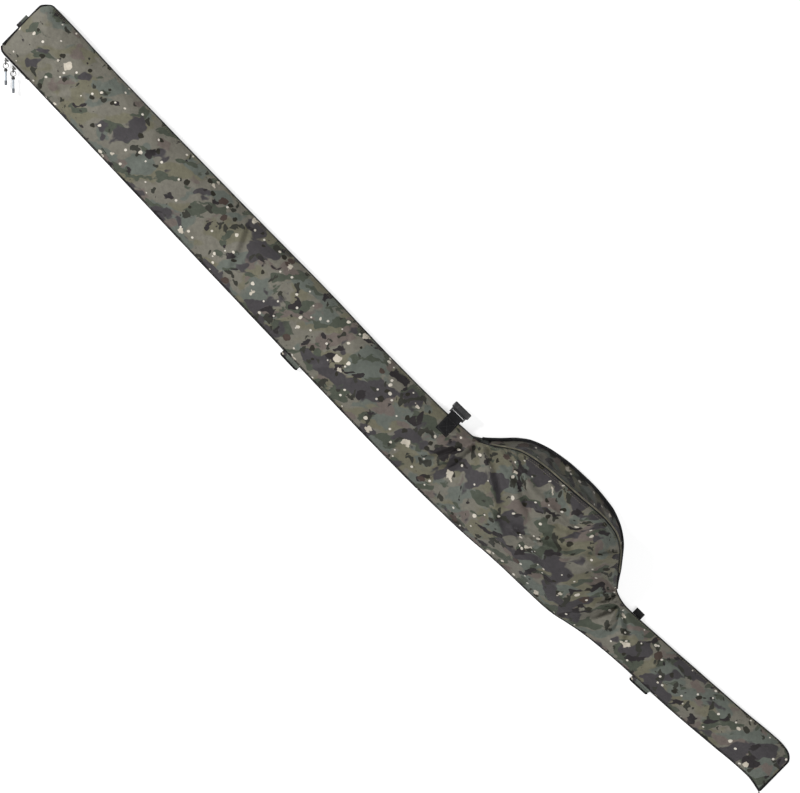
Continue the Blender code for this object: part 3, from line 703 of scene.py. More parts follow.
def ink(red, green, blue):
    """A dye's colour, under this studio's light."""
    colour = srgb(red, green, blue)
    return tuple(c * INK for c in colour[:3]) + (1.0,)


def faded(colour, gain):
    """The same colour where it is worn or dusty."""
    return tuple(min(c * gain + 0.001, 1.0) for c in colour[:3]) + (1.0,)


# Print layers: colour, size of the shapes, stretch, detail, share left out, place, and
# how soft their edges are.
# The shapes are longest at an angle to the sleeve, the way the cloth was cut.
PRINT_ANGLE = math.radians(-44.0)
CAMO_BASE = ink(113, 110, 100)
CAMO_LAYERS = [
    (ink(107, 104, 87), 12.0, (1.0, 1.6), 3.0, 0.52, (3.1, 0.7), 0.026),
    (ink(96, 101, 94), 13.0, (1.0, 1.7), 3.5, 0.545, (9.4, 5.2), 0.022),
    (ink(104, 95, 89), 17.0, (1.0, 1.3), 3.0, 0.585, (1.7, 8.8), 0.020),
    (ink(72, 77, 66), 19.0, (1.0, 1.8), 4.0, 0.570, (6.6, 2.4), 0.012),
    (ink(65, 62, 64), 12.4, (1.1, 1.6), 3.5, 0.573, (4.3, 6.1), 0.014),
    (ink(50, 50, 43), 36.0, (1.2, 1.0), 3.0, 0.625, (8.2, 3.5), 0.010),
    (ink(41, 37, 38), 24.0, (1.0, 1.5), 4.0, 0.622, (2.9, 9.3), 0.010),
]
# Round spots: colour, cells per metre, radius in cells, share kept, how far the
# outline is pushed about, and place.
CAMO_SPOTS = [
    (ink(38, 36, 27), 21.0, 0.105, 0.42, 0.010, (2.4, 6.3)),
    (ink(70, 58, 52), 16.0, 0.120, 0.30, 0.012, (7.9, 1.2)),
    (ink(212, 206, 194), 31.0, 0.070, 0.42, 0.002, (0.3, 0.9)),
    (ink(206, 199, 185), 23.0, 0.080, 0.34, 0.006, (5.3, 2.9)),
    (ink(192, 184, 169), 13.5, 0.080, 0.45, 0.022, (7.7, 1.1)),
]


def camo_material(name, dim=1.0):
    """Printed woven polyester: crisp overlapping shapes, cream spots, and a fine weave."""
    g = Graph(name)
    place = g.rest()
    turned = g.mapped(place, angle=PRINT_ANGLE)
    warped = g.warped(turned, 24.0, 0.034)
    # The print is sparser and paler towards the tip end.
    along = g.node("SeparateXYZ", Vector=place).outputs[0]
    pale_end = (TIP_X, TIP_X + 0.45 * LENGTH)
    sparse = g.ranged(along, 0.040, -0.004, *pale_end)

    colour = CAMO_BASE
    for tint, scale, stretch, detail, left_out, location, softness in CAMO_LAYERS:
        vector = g.mapped(warped, (*stretch, 1.0), (*location, 0.0))
        shape = g.math("SUBTRACT", g.noise(vector, scale, detail, 0.45), sparse)
        colour = g.mix(g.step(shape, left_out, softness), colour, tint)
    for tint, scale, radius, keep, push, location in CAMO_SPOTS:
        vector = g.mapped(g.warped(turned, 85.0, push), (1.0, 1.15, 1.0), (*location, 0.0))
        cells = g.node("TexVoronoi", {"voronoi_dimensions": "2D"}, Vector=vector, Scale=scale)
        chosen = g.node("SeparateColor", Color=cells.outputs["Color"])
        size = g.ranged(chosen.outputs[2], 0.65 * radius, 1.25 * radius)
        near = g.step(g.math("SUBTRACT", size, cells.outputs["Distance"]), 0.0, 0.010)
        kept = g.math("LESS_THAN", chosen.outputs[0], keep)
        colour = g.mix(g.math("MULTIPLY", near, kept), colour, tint)

    # Uneven dye, fine random wear, and threads that catch the light.
    dye = g.noise(place, 6.0, 3.0)
    weave = g.weave(place, 0.0011)
    # dim darkens the whole print: painted shade for the pouch's side wall, which faces away from the lamps.
    colour = g.shaded(colour, g.ranged(dye, 0.86 * dim, 1.10 * dim, 0.3, 0.7))
    colour = g.shaded(colour, g.ranged(along, 1.05, 1.00, *pale_end))
    colour = g.shaded(colour, g.ranged(g.noise(place, 130.0, 4.0, 0.6), 0.84, 1.14, 0.25, 0.75))
    colour = g.shaded(colour, g.ranged(weave, 0.90, 1.07, -1.0, 1.0))

    crumple = g.bump(g.noise(place, 55.0, 4.0, 0.6), 0.0026, 0.6)
    g.set(Base_Color=colour, Roughness=g.ranged(dye, 0.52, 0.72), Sheen_Weight=0.02,
          Sheen_Roughness=0.45, Specular_IOR_Level=0.16,
          Normal=g.bump(weave, 0.00018, 0.5, Normal=crumple))
    return g.material


def cloth_material(name, colour, pitch, roughness=0.8, depth=0.0002):
    """Plain dyed cloth: weave or ribs, worn and dusty patches."""
    g = Graph(name)
    place = g.rest()
    dusty = g.step(g.noise(place, 60.0, 4.0, 0.6), 0.56, 0.16)
    g.set(Base_Color=g.mix(dusty, colour, faded(colour, 1.7)), Roughness=roughness,
          Normal=g.bump(g.weave(place, pitch), depth, 0.7), Specular_IOR_Level=0.12)
    return g.material


def moulded_material(name, colour, roughness, metallic=0.0, grain=900.0):
    """Moulded plastic or plated metal, with a fine grain and handling marks."""
    g = Graph(name)
    place = g.rest()
    marks = g.noise(place, 140.0, 5.0, 0.6)
    g.set(Base_Color=g.mix(g.step(marks, 0.60, 0.10), colour, faded(colour, 1.25)),
          Roughness=g.ranged(marks, max(roughness - 0.14, 0.04), roughness + 0.16),
          Normal=g.bump(g.noise(place, grain), 0.00005, 0.5), Metallic=metallic)
    return g.material


def foam_material():
    """Pale closed-cell foam."""
    g = Graph("closed_cell_foam")
    place = g.rest()
    cells = g.node("TexVoronoi", Vector=place, Scale=900.0)
    tint = g.mix(g.noise(place, 40.0, 3.0), ink(150, 150, 150), ink(176, 176, 172))
    g.set(Base_Color=tint, Roughness=0.95, Normal=g.bump(cells.outputs["Distance"], 0.0003, 0.6))
    return g.material


def lining_material():
    """Dark brushed lining with quilting stitched on the diagonal."""
    g = Graph("brushed_lining")
    place = g.rest()
    parts = g.node("SeparateXYZ", Vector=g.mapped(place, (1, 1, 0), angle=math.radians(45)))
    rows = []
    for k in range(2):
        wave = g.math("SINE", g.math("MULTIPLY", parts.outputs[k], math.pi / 0.045))
        rows.append(g.math("POWER", g.math("ABSOLUTE", wave), 0.35))
    nap = g.noise(place, 420.0, 3.0)
    height = g.math("ADD", g.math("MULTIPLY", *rows), g.math("MULTIPLY", nap, 0.12))
    g.set(Base_Color=g.mix(nap, ink(54, 57, 54), ink(78, 81, 76)), Roughness=0.9,
          Normal=g.bump(height, 0.0022, 0.7), Sheen_Weight=0.25, Sheen_Roughness=0.5)
    return g.material


camo = camo_material("camo_fabric_print")
# The pouch's side wall gets the same print, darkened as painted shade.
camo_in_painted_shade = camo_material("camo_fabric_gusset_painted_shade", 0.62)
binding_cloth = cloth_material("binding_tape_cloth", ink(24, 24, 25), 0.0009)
zip_cloth = cloth_material("zip_tape_cloth", ink(25, 25, 26), 0.0007)
webbing_cloth = cloth_material("webbing_cloth", ink(27, 27, 28), 0.0022, depth=0.0004)
piping_cloth = cloth_material("piping_cloth", ink(96, 93, 80), 0.0010)
thread_black = cloth_material("thread_black", ink(60, 60, 60), 0.0006, 0.6)
thread_olive = cloth_material("thread_olive", ink(112, 108, 92), 0.0006, 0.6)
coil_nylon = moulded_material("coil_nylon", ink(34, 34, 35), 0.50)
acetal = moulded_material("black_acetal_moulding", ink(26, 26, 27), 0.48)
nickel = moulded_material("nickel_plate", srgb(122, 121, 118), 0.36, 1.0, 500.0)
dark_steel = moulded_material("dark_steel_wire", srgb(52, 52, 53), 0.40, 1.0, 500.0)
cord_sleeve = moulded_material("pale_cord_sleeve", ink(168, 176, 184), 0.55)
end_grey = moulded_material("grey_end_moulding", ink(96, 100, 106), 0.5)
foam = foam_material()
lining = lining_material()


def finish_piece(item, material, body, slot, *nodes, fill=None):
    """Gives a piece its material and body, and hides the CAD nodes it stands for; slot and fill are not used.
    """
    if material:
        paint(item, material)
    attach(item, body)
    if nodes:
        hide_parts(*nodes)


# -------------------------------------------------------------------------- the panels
def bend_zone(body):
    """Where a cover starts and stops turning: just past its sewn edge, up and inwards."""
    joint = joint_named(body + "_fold")
    axis, pos = Vector(joint["axis"]), Vector(joint["pos_m"])
    slant = (Vector((-axis.y, axis.x, 0.0)).normalized() + Vector((0.0, 0.0, 1.0))).normalized()
    lo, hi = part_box(body + "_shell")
    stations = np.linspace(lo[0], hi[0], 60)
    edge = [Vector((x, y, FOLD_Z)) for x, y in zip(stations, fold_edge(stations))]
    reach = max((point - pos).dot(slant) for point in edge)
    return pos + slant * reach, pos + slant * (reach + BEND_WIDTH)


def finish_soft(item, material, body, slot, fill, *nodes):
    """Gives a panel its material, hides its CAD nodes and bakes its placement into its points; the bend zone
    is worked out but not used, and slot and fill are not used.
    """
    paint(item, material)
    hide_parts(*nodes)
    start, end = bend_zone(body)
    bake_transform(item)


# Settings of the simulated cloth.
CLOTH = {"quality": 5, "mass": 0.12, "bending_stiffness": 0.12, "shear_stiffness": 8.0,
         "tension_stiffness": 18.0, "compression_stiffness": 18.0,
         "tension_damping": 12.0, "compression_damping": 12.0, "shear_damping": 12.0,
         "vertex_group_mass": "pin", "vertex_group_shrink": "slack", "shrink_min": 0.0}


def draped(name, grid, pinned, slack, collider):
    """The grid after it has settled as slack cloth over the padding, pinned at its seams.

    slack is how much longer than its place the cloth is, at each point.
    """
    rows, cols = grid.shape[:2]
    item = make_object(name, grid.reshape(-1, 3), sheet_faces(rows, cols).tolist())
    top = float(slack.max())
    for group_name, weights in (("pin", pinned.astype(float)), ("slack", slack / top)):
        group = item.vertex_groups.new(name=group_name)
        for index, weight in enumerate(weights.ravel()):
            if weight > 0.0:
                group.add([index], float(weight), "REPLACE")
    cloth = item.modifiers.new("cloth", "CLOTH")
    for key, value in CLOTH.items():
        setattr(cloth.settings, key, value)
    cloth.settings.shrink_max = -top
    cloth.settings.effector_weights.gravity = 0.12
    cloth.collision_settings.distance_min = 0.0008
    cloth.collision_settings.use_self_collision = False
    cloth.point_cache.frame_start = 1
    cloth.point_cache.frame_end = CLOTH_FRAMES
    hit = collider.modifiers.new("hit", "COLLISION")
    collider.collision.thickness_outer = 0.0006
    collider.collision.cloth_friction = 1.0
    for step in range(1, CLOTH_FRAMES + 1):
        bpy.context.scene.frame_set(step)
    view = bpy.context.evaluated_depsgraph_get()
    settled = item.evaluated_get(view).data
    places = np.empty(len(settled.vertices) * 3)
    settled.vertices.foreach_get("co", places)
    bpy.context.scene.frame_set(1)
    collider.modifiers.remove(hit)
    for used in (item, collider):
        bpy.data.objects.remove(used, do_unlink=True)
    moved = places.reshape(rows, cols, 3) - grid
    reach = np.maximum(np.linalg.norm(moved, axis=2, keepdims=True), 1e-9)
    return grid + moved * np.minimum(1.0, MOST_MOVED / reach)


def front_fabric():
    """Points of the whole front fabric, with the loose pouch settled over its padding."""
    rows = np.unique(np.concatenate([station_rows(TIP_X, NECK_X), station_rows(NECK_X, BUTT_X)]))
    grid = panel_grid(rows, fold_edge, front_edge, smooth_z, 0.0)
    lift = fold_lift(grid[..., 0], grid[..., 1])
    first, last = np.searchsorted(rows, [TIP_X + LOOSE_FROM, TIP_X + LOOSE_TO])
    loose_rows, loose_grid = rows[first:last], grid[first:last]
    under = panel_grid(loose_rows, fold_edge, front_edge, rest_z, -COLLIDER_DROP, 0.0, 40)
    collider = closed_sheet("collider", under, 0.006, -1)
    pinned = np.zeros(loose_grid.shape[:2], bool)
    pinned[:, :3] = pinned[:, -3:] = True
    pinned[:3] = pinned[-3:] = True
    neck = int(np.argmin(np.abs(loose_rows - NECK_X)))
    pinned[neck - 1:neck + 2] = True
    slack = SLACK + POUCH_SLACK * pouch_share(loose_grid[..., 0])
    grid[first:last] = draped("pouch_cloth", loose_grid, pinned, slack, collider)
    grid[..., 2] += lift
    return rows, grid


def line_inside(shell, grid):
    """Gives the hidden side of a fabric sheet the lining's cloth."""
    shell.data.materials.append(lining)
    count = (grid.shape[0] - 1) * (grid.shape[1] - 1)
    for face in shell.data.polygons[count:2 * count]:
        face.material_index = 1


def inner_layer(name, rows, high, surface, drop, thickness, side, normals=None):
    """A layer of padding or lining inside one half, clear of the half's edges."""
    grid = panel_grid(rows, fold_edge, high, surface, drop, INNER_INSET, INNER_COLUMNS)
    return closed_sheet(name, grid, thickness, side, 0.0, normals)


def make_cover(body, rows, grid, normals, closed_low, closed_high):
    """Outer fabric, padding and lining of one front cover."""
    shell = closed_sheet(body + "_fabric", grid, FABRIC, -1, 0.0, normals)
    finish_soft(shell, camo, body, "camo_fabric", 0.4, body + "_shell")
    line_inside(shell, grid)
    inner_rows = station_rows(rows[0] + INNER_INSET * closed_low, rows[-1] - INNER_INSET * closed_high,
                              INNER_STEP)
    drop = -(FABRIC + COLLIDER_DROP)
    # The padding's thickness is measured straight down, so that its folds never cross.
    straight = np.broadcast_to([0.0, 0.0, 1.0], (len(inner_rows), INNER_COLUMNS, 3))
    pad = inner_layer(body + "_foam", inner_rows, front_edge, padding_z, drop, FOAM - 0.0006, -1, straight)
    finish_soft(pad, foam, body, "foam", 0.6, body + "_padding")
    drop -= FOAM + GAP
    inner = inner_layer(body + "_inner", inner_rows, front_edge, padding_z, drop, LINING, -1)
    finish_soft(inner, lining, body, "lining", 0.4, body + "_lining")


def make_front():
    """Both covers, cut from one fabric at the neck."""
    rows, grid = front_fabric()
    normals = grid_normals(grid)
    split = int(np.argmin(np.abs(rows - NECK_X)))
    make_cover("tip_cover", rows[:split + 1], grid[:split + 1], normals[:split + 1], True, False)
    make_cover("pouch_cover", rows[split:], grid[split:], normals[split:], False, True)
    return rows, grid


def make_wear_patch(node, drop):
    """Webbing sewn down on the lining where the rod's end presses."""
    lo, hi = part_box(node)
    rows = station_rows(lo[0], hi[0], 0.0040)
    low, high = (Curve(rows[[0, -1]], [side, side]) for side in (lo[1], hi[1]))
    grid = panel_grid(rows, low, high, back_z, drop, 0.0, 20)
    patch = closed_sheet(node + "_cloth", grid, 0.0010, 1)
    seam = np.concatenate([grid[2:-2, 2], grid[-3, 2:-2], grid[-3:1:-1, -3], grid[2, -3:1:-1]])
    seam[:, 2] += 0.0012
    thread = stitches(node + "_seam", seam)
    item = join_pieces(node + "_sewn", [(patch, webbing_cloth), (thread, thread_olive)])
    finish_piece(item, None, "back", "black_webbing", node)


def make_back():
    """Outer fabric, padding, lining and wear patches of the back half."""
    rows = station_rows(TIP_X, BUTT_X, INNER_STEP)
    grid = panel_grid(rows, fold_edge, back_edge, back_z, 0.0)
    shell = closed_sheet("back_fabric", grid, FABRIC, 1, 3.0)
    finish_piece(shell, camo, "back", "camo_fabric", "back_shell", fill=0.4)
    line_inside(shell, grid)
    rows = station_rows(TIP_X + INNER_INSET, BUTT_X - INNER_INSET, 0.0070)
    pad = inner_layer("back_foam", rows, back_edge, back_z, FABRIC + GAP, FOAM, 1)
    finish_piece(pad, foam, "back", "foam", "back_padding", fill=0.6)
    drop = FABRIC + FOAM + 2 * GAP
    inner = inner_layer("back_inner", rows, back_edge, back_z, drop, LINING, 1)
    finish_piece(inner, lining, "back", "lining", "back_lining", fill=0.4)
    for node in ("tip_wear_patch", "butt_wear_patch"):
        make_wear_patch(node, drop + LINING + 0.0001)


def make_gusset():
    """The pouch's side wall: fabric that creases along the seam, with padding behind."""
    lo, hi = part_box("pouch_gusset")
    rows = station_rows(lo[0] - 0.006, hi[0] + 0.004)
    count = 26
    share = spread(count, 0.2)
    foot_y, head_y = back_edge(rows) - 0.0006, front_edge(rows) - 0.0006
    foot_z = 0.0098
    head_z = front_rim(rows) - FABRIC - GAP - 0.0104
    x = np.repeat(rows[:, None], count, axis=1)
    y = foot_y[:, None] + (head_y - foot_y)[:, None] * share
    z = foot_z + (head_z - foot_z)[:, None] * share
    base = np.stack([x, y, z], axis=2)
    out = grid_normals(base)
    side = -1 if out[len(rows) // 2, count // 2, 1] > 0 else 1
    out *= np.sign(out[..., 1:2] + 1e-9)
    middle = np.sin(np.pi * share)[None, :] ** 0.8
    ends = np.clip(np.minimum(rows - lo[0], hi[0] - rows) / 0.03, 0, 1)[:, None]
    wave = 0.55 * np.sin(x / 0.019 + 3.0 * lattice_noise(x / 0.06, z / 0.03, 71))
    wave = wave + creases(x, z, 1.2, 0.020, 0.050, 73) - 0.4
    wave = wave + 0.8 * (creases(x, z, 0.15, 0.016, 0.090, 79) - 0.4)
    lift = (0.0034 * wave * middle * ends - 0.0030 * middle * ends)[..., None]
    grid = base + out * lift
    shell = closed_sheet("gusset_fabric", grid, FABRIC, side, 6.0)
    finish_piece(shell, camo_in_painted_shade, "back", "camo_fabric", "pouch_gusset", fill=0.4)
    line_inside(shell, grid)
    inner = (base + out * (lift * 0.5 - 0.0048))[4:-4, 2:-2]
    pad = closed_sheet("gusset_foam", inner, 0.0036, side)
    finish_piece(pad, foam, "back", "foam", "pouch_gusset_padding", fill=0.6)


def make_neck_flap():
    """Inner flap of cloth under the neck seam, so that the two covers stay closed there."""
    rows = station_rows(NECK_X - 0.016, NECK_X + 0.010, 0.0026)
    grid = panel_grid(rows, fold_edge, front_edge, padding_z, -FABRIC - 0.0008, 0.0030, 44)
    flap = closed_sheet("neck_flap", grid, 0.0006, -1)
    finish_soft(flap, lining, "pouch_cover", "camo_fabric", 0.3)


# ---------------------------------------------------------------------- zip and edges
def side_path(x_from, x_to, edge, step=EDGE_STEP):
    """Flat path along one of the long edges."""
    x = station_rows(x_from, x_to, step)
    return np.stack([x, edge(x)], axis=1)


def end_path(x, outward):
    """Flat path across one end of the sleeve."""
    low, high = float(fold_edge(x)) + CORNER_CUT, float(front_edge(x)) - CORNER_CUT
    y = station_rows(low, high, EDGE_STEP)
    return np.stack([np.full(len(y), x + outward), y], axis=1)


def zip_height(path):
    """Height of the zip's centre line: level with the side wall, lower near the fold."""
    x = np.clip(path[:, 0], TIP_X, BUTT_X)
    edge = front_rim(x) - ZIP_BELOW_RIM
    low, high = fold_edge(x), front_edge(x)
    share = np.clip((path[:, 1] - low) / (high - low), 0.0, 1.0)
    near_end = (x < TIP_X + 0.02) | (x > BUTT_X - 0.02) | (path[:, 1] < 0)
    dipped = ZIP_Z_AT_FOLD + (edge - ZIP_Z_AT_FOLD) * share
    return np.where(near_end, dipped, edge)


def rounded(path, passes=2):
    """The path with its corners eased."""
    for _ in range(passes):
        inner = (path[:-2] + 2 * path[1:-1] + path[2:]) / 4
        path = np.concatenate([path[:1], inner, path[-1:]])
    return path


def edge_tape(name, path, profile, thickness, turned=1.0):
    """A tape along an edge, with its section given as (out, z) pairs."""
    sections = thick_section(set_out(path, profile), thickness) * np.array([turned, 1.0])
    return swept(name, along_path(path, sections))


# Sections of the tape, measured from the fabric's rim, and of the coil, measured from the
# zip's centre line, as (out, rise) pairs.  The lower half mirrors them.
ZIP_TAPE = ((-0.0030, 0.0014), (-0.0010, 0.0011), (0.0003, 0.0003), (0.0007, -0.0016))
ZIP_TOOTH = ((-0.0006, 0.0002), (0.0010, 0.0002), (0.0014, 0.0008), (0.0010, 0.0015), (-0.0006, 0.0015))
TOOTH_PITCH = 0.00095
LOW_TOOTH = 0.55


def zip_half(name, body, path, side):
    """Tape sewn over the fabric's edge, and a ribbed nylon coil along its lip."""
    height = zip_height(path)
    path = rounded(path)
    profile = [(out, height + side * (ZIP_BELOW_RIM + rise)) for out, rise in ZIP_TAPE]
    profile.append((0.0006, height + side * 0.0016))
    tape = edge_tape(name + "_cloth", path, profile, TAPE * -side)
    count = int(np.linalg.norm(np.diff(path, axis=0), axis=1).sum() / TOOTH_PITCH)
    place = np.linspace(0, len(path) - 1, count)
    index = np.arange(len(path))
    fine = np.stack([np.interp(place, index, path[:, k]) for k in range(2)], axis=1)
    fine_height = np.interp(place, index, height)
    tooth = np.where(np.arange(count) % 2 == 0, 1.0, LOW_TOOTH)
    base_out, base_z = ZIP_TOOTH[0]
    ring = [(base_out + (out - base_out) * tooth, fine_height + side * (base_z + (z - base_z) * tooth))
            for out, z in ZIP_TOOTH]
    coil = swept(name + "_teeth", along_path(fine, set_out(fine, ring)))
    finish_piece(tape, zip_cloth, body, "zip_tape", name + "_tape")
    finish_piece(coil, coil_nylon, body, "zip_coil", name + "_coil")


def make_wrap_band():
    """Tape over the fabric's edge above the stretch of zip that turns round the corner."""
    path = rounded(side_path(TIP_X + 0.0006, ZIP_WRAP_END_X + 0.009, fold_edge), 3)
    on_fabric = front_z(path[:, 0], path[:, 1] + 0.0014) + 0.0006
    profile = ((-0.0014, on_fabric), (-0.0004, 0.0162), (0.0008, 0.0164), (0.0017, 0.0156), (0.0022, 0.0142))
    band = edge_tape("wrap_band", path, profile, -TAPE)
    finish_piece(band, binding_cloth, "back", "black_binding")


def make_wall_foot_tape_and_shade():
    """Black tape along the foot of the pouch's side wall: partly a binding on the seam, partly a dark band
    that stands in for the shade at the wall's foot.
    """
    path = side_path(TIP_X + 1.157, TIP_X + 1.535, back_edge, 0.0030)
    profile = ((-0.0042, 0.0162), (-0.0010, 0.0166), (0.0012, 0.0140), (0.0018, 0.0108),
               (0.0010, 0.0078), (-0.0012, 0.0066))
    tape = edge_tape("wall_foot_tape_and_shade", path, profile, -0.0008, -1.0)
    finish_piece(tape, binding_cloth, "back", "black_binding")


def make_zip():
    """The back's half of the zip in one length, and the front's half on its two covers."""
    wrap = side_path(TIP_X, ZIP_WRAP_END_X, fold_edge)[::-1]
    make_wrap_band()
    tip = np.concatenate([end_path(TIP_X, -END_GAP), side_path(TIP_X, NECK_X, front_edge)])
    pouch = np.concatenate([side_path(NECK_X, BUTT_X, front_edge), end_path(BUTT_X, END_GAP)[::-1]])
    whole = np.concatenate([wrap, tip, pouch[1:]])
    zip_half("lower_zip", "back", whole[::-1], -1)
    zip_half("tip_cover_zip", "tip_cover", tip[::-1], 1)
    zip_half("pouch_cover_zip", "pouch_cover", pouch[::-1], 1)


def make_binding(name, x_from, x_to):
    """Black tape folded round the seam allowance along the fold, with its stitching."""
    path = side_path(x_from, x_to, fold_edge, 0.0034)
    x = path[:, 0]
    low_z = FOLD_Z - GAP - FABRIC
    on_fabric = front_z(x, path[:, 1] + 0.0019) + 0.0006
    profile = ((-0.0019, on_fabric), (-0.0010, 0.0162), (0.0000, 0.0163), (0.0010, 0.0154),
               (0.0014, 0.0138), (0.0013, 0.0120), (0.0008, 0.0106), (-0.0004, low_z - 0.0012),
               (-0.0018, low_z - 0.0022))
    ripple = 0.00035 * (lattice_noise(x / 0.012, x * 0 + 0.5, 83) - 0.5)
    profile = [(out + ripple, z + ripple) for out, z in profile]
    tape = edge_tape(name + "_tape", path, profile, -TAPE)
    seam = np.stack([x, path[:, 1] + 0.0007, np.full(len(x), 0.01655)], axis=1)
    thread = stitches(name + "_stitches", seam)
    item = join_pieces(name + "_sewn", [(tape, binding_cloth), (thread, thread_black)])
    finish_piece(item, None, "back", "black_binding", name)


def make_piping():
    """Cord in a sleeve of cloth along the pouch panel's seam."""
    lo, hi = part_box("pouch_piping")
    path = side_path(lo[0], hi[0], front_edge)
    z = front_rim(path[:, 0]) + 0.0002 * np.sin(path[:, 0] / 0.004)
    middle = np.concatenate([path - outline_normals(path) * 0.0024, z[:, None]], axis=1)
    cord = tube("piping_cord", middle, 0.0015 + 0.00015 * np.sin(path[:, 0] / 0.0016), 10)
    finish_piece(cord, piping_cloth, "pouch_cover", "black_binding", "pouch_piping")


def make_top_stitching(rows, grid):
    """Two rows of stitches beside the zip on the front fabric, one piece for each cover."""
    normals = grid_normals(grid)
    for body, x_from, x_to in (("tip_cover", TIP_X + 0.02, NECK_X), ("pouch_cover", NECK_X, BUTT_X - 0.02)):
        chosen = (rows > x_from) & (rows < x_to)
        runs = [(stitches(body + "_stitches", grid[chosen, column], normals[chosen, column]), thread_olive)
                for column in (-3, -5)]
        finish_piece(join_pieces(body + "_top_stitching", runs), None, body, "camo_fabric")


# --------------------------------------------------------------- loops, tabs and clip
def make_tab(node):
    """Folded tab of camouflage cloth with a rolled black edge."""
    lo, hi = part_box(node)
    path = side_path(lo[0] + 0.0004, hi[0] - 0.0004, fold_edge, 0.0020)
    x = path[:, 0]
    ease = np.clip(np.minimum(x - x[0], x[-1] - x) / 0.0030, 0.0, 1.0) ** 0.5
    reach = 0.0062 + 0.0023 * ease
    middle = 0.0064 + 0.0004 * np.sin((x - x[0]) / 0.007)
    half = 0.0008 + 0.0006 * ease
    top, bottom = middle + half, middle - half
    profile = ((0.0002, 0.0172), (0.0018, 0.0171), (0.0028, 0.0160), (0.0040, 0.0125), (0.0052, top + 0.0008),
               (reach * 0.9, top), (reach, middle), (reach * 0.9, bottom), (0.0020, bottom),
               (-0.0040, bottom), (-0.0040, 0.0100), (0.0002, 0.0120))
    cloth = swept(node + "_cloth", along_path(path, set_out(path, profile)))
    seam = np.concatenate([path, (top + 0.0001)[:, None]], axis=1)
    seam[:, 1] -= 0.0066
    item = join_pieces(node + "_sewn", [(cloth, camo), (stitches(node + "_stitches", seam), thread_black)])
    finish_piece(item, None, "back", "camo_fabric", node)
    rolled = path + outline_normals(path) * (reach + 0.0010)[:, None]
    centre = np.concatenate([rolled, middle[:, None]], axis=1)
    edge = tube(node + "_roll", centre, 0.0015 + 0.0006 * ease, 12)
    finish_piece(edge, binding_cloth, "back", "black_binding", node + "_edge")


def make_loop(node, material, out_axis, slot, longer=0.0):
    """A strap turned back on itself, thinner at its edges, with a row of stitches."""
    lo, hi = (np.array(corner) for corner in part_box(node))
    width_axis = 1 - out_axis
    lo[width_axis] -= longer
    outer = (hi[2] - lo[2]) / 2
    middle_z = (hi[2] + lo[2]) / 2
    straight = hi[out_axis] - lo[out_axis] - outer
    outward = -1.0 if out_axis == 0 else 1.0
    base = hi[out_axis] if outward < 0 else lo[out_axis]
    line = [(share * straight, outer) for share in np.linspace(0.0, 1.0, 8)]
    line += [(straight + outer * math.sin(a), outer * math.cos(a))
             for a in np.linspace(0.0, math.pi, 12)[1:-1]]
    line += [(share * straight, -outer) for share in np.linspace(1.0, 0.0, 8)]
    section = thick_section(np.array(line)[None], -0.0011)[0]
    rings = []
    for share in np.linspace(0.0, 1.0, 13):
        ring = np.zeros((len(section), 3))
        ring[:, out_axis] = base + outward * section[:, 0]
        ring[:, width_axis] = lo[width_axis] + (hi[width_axis] - lo[width_axis]) * share
        ring[:, 2] = middle_z + section[:, 1] * (1.0 - 0.35 * (abs(share - 0.5) * 2) ** 8)
        rings.append(ring)
    strap = swept(node + "_strap", rings)
    seam = np.zeros((20, 3))
    seam[:, out_axis] = base + outward * 0.0028
    seam[:, width_axis] = np.linspace(lo[width_axis] + 0.001, hi[width_axis] - 0.001, 20)
    seam[:, 2] = hi[2]
    thread = stitches(node + "_stitches", seam, None, 0.0022, 0.0034)
    item = join_pieces(node + "_sewn", [(strap, material), (thread, thread_black)])
    finish_piece(item, None, "back", slot, node)


def on_patch(u, v):
    """A place on the clip's patch: u across the strap and v along it, from -1 to 1."""
    lo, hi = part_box("clip_patch")
    x = (lo[0] + hi[0]) / 2 + (hi[0] - lo[0]) / 2 * np.asarray(u, float)
    y = (lo[1] + hi[1]) / 2 + (hi[1] - lo[1]) / 2 * np.asarray(v, float)
    return x, y, front_z(x, y, WEBBING_DETAIL) + 0.0026


def make_clip_patch():
    """Webbing sewn down with a box and a cross."""
    u, v = np.meshgrid(np.linspace(-1, 1, 15), np.linspace(-1, 1, 19), indexing="ij")
    x, y, z = on_patch(u, v)
    rim = np.maximum(np.abs(u), np.abs(v))
    z = z - 0.0007 * np.clip((rim - 0.86) / 0.14, 0, 1) ** 2 + 0.0002 * np.sin(y / 0.0011)
    runs = [(closed_sheet("patch_webbing", np.stack([x, y, z], axis=2), 0.0016, -1), webbing_cloth)]
    far = 0.84
    corners = ((-far, -far), (far, -far), (far, far), (-far, far))
    box_and_diagonal = (*corners, corners[0], corners[2])
    for k, line in enumerate((box_and_diagonal, (corners[1], corners[3]))):
        us, vs = (np.concatenate([np.linspace(a[axis], b[axis], 24) for a, b in zip(line, line[1:])])
                  for axis in range(2))
        points = np.stack(on_patch(us, vs), axis=1)
        runs.append((stitches("patch_seam_%d" % k, points, None, 0.0022, 0.0031, 0.00034), thread_black))
    finish_piece(join_pieces("clip_patch_sewn", runs), None, "tip_cover", "black_webbing", "clip_patch")


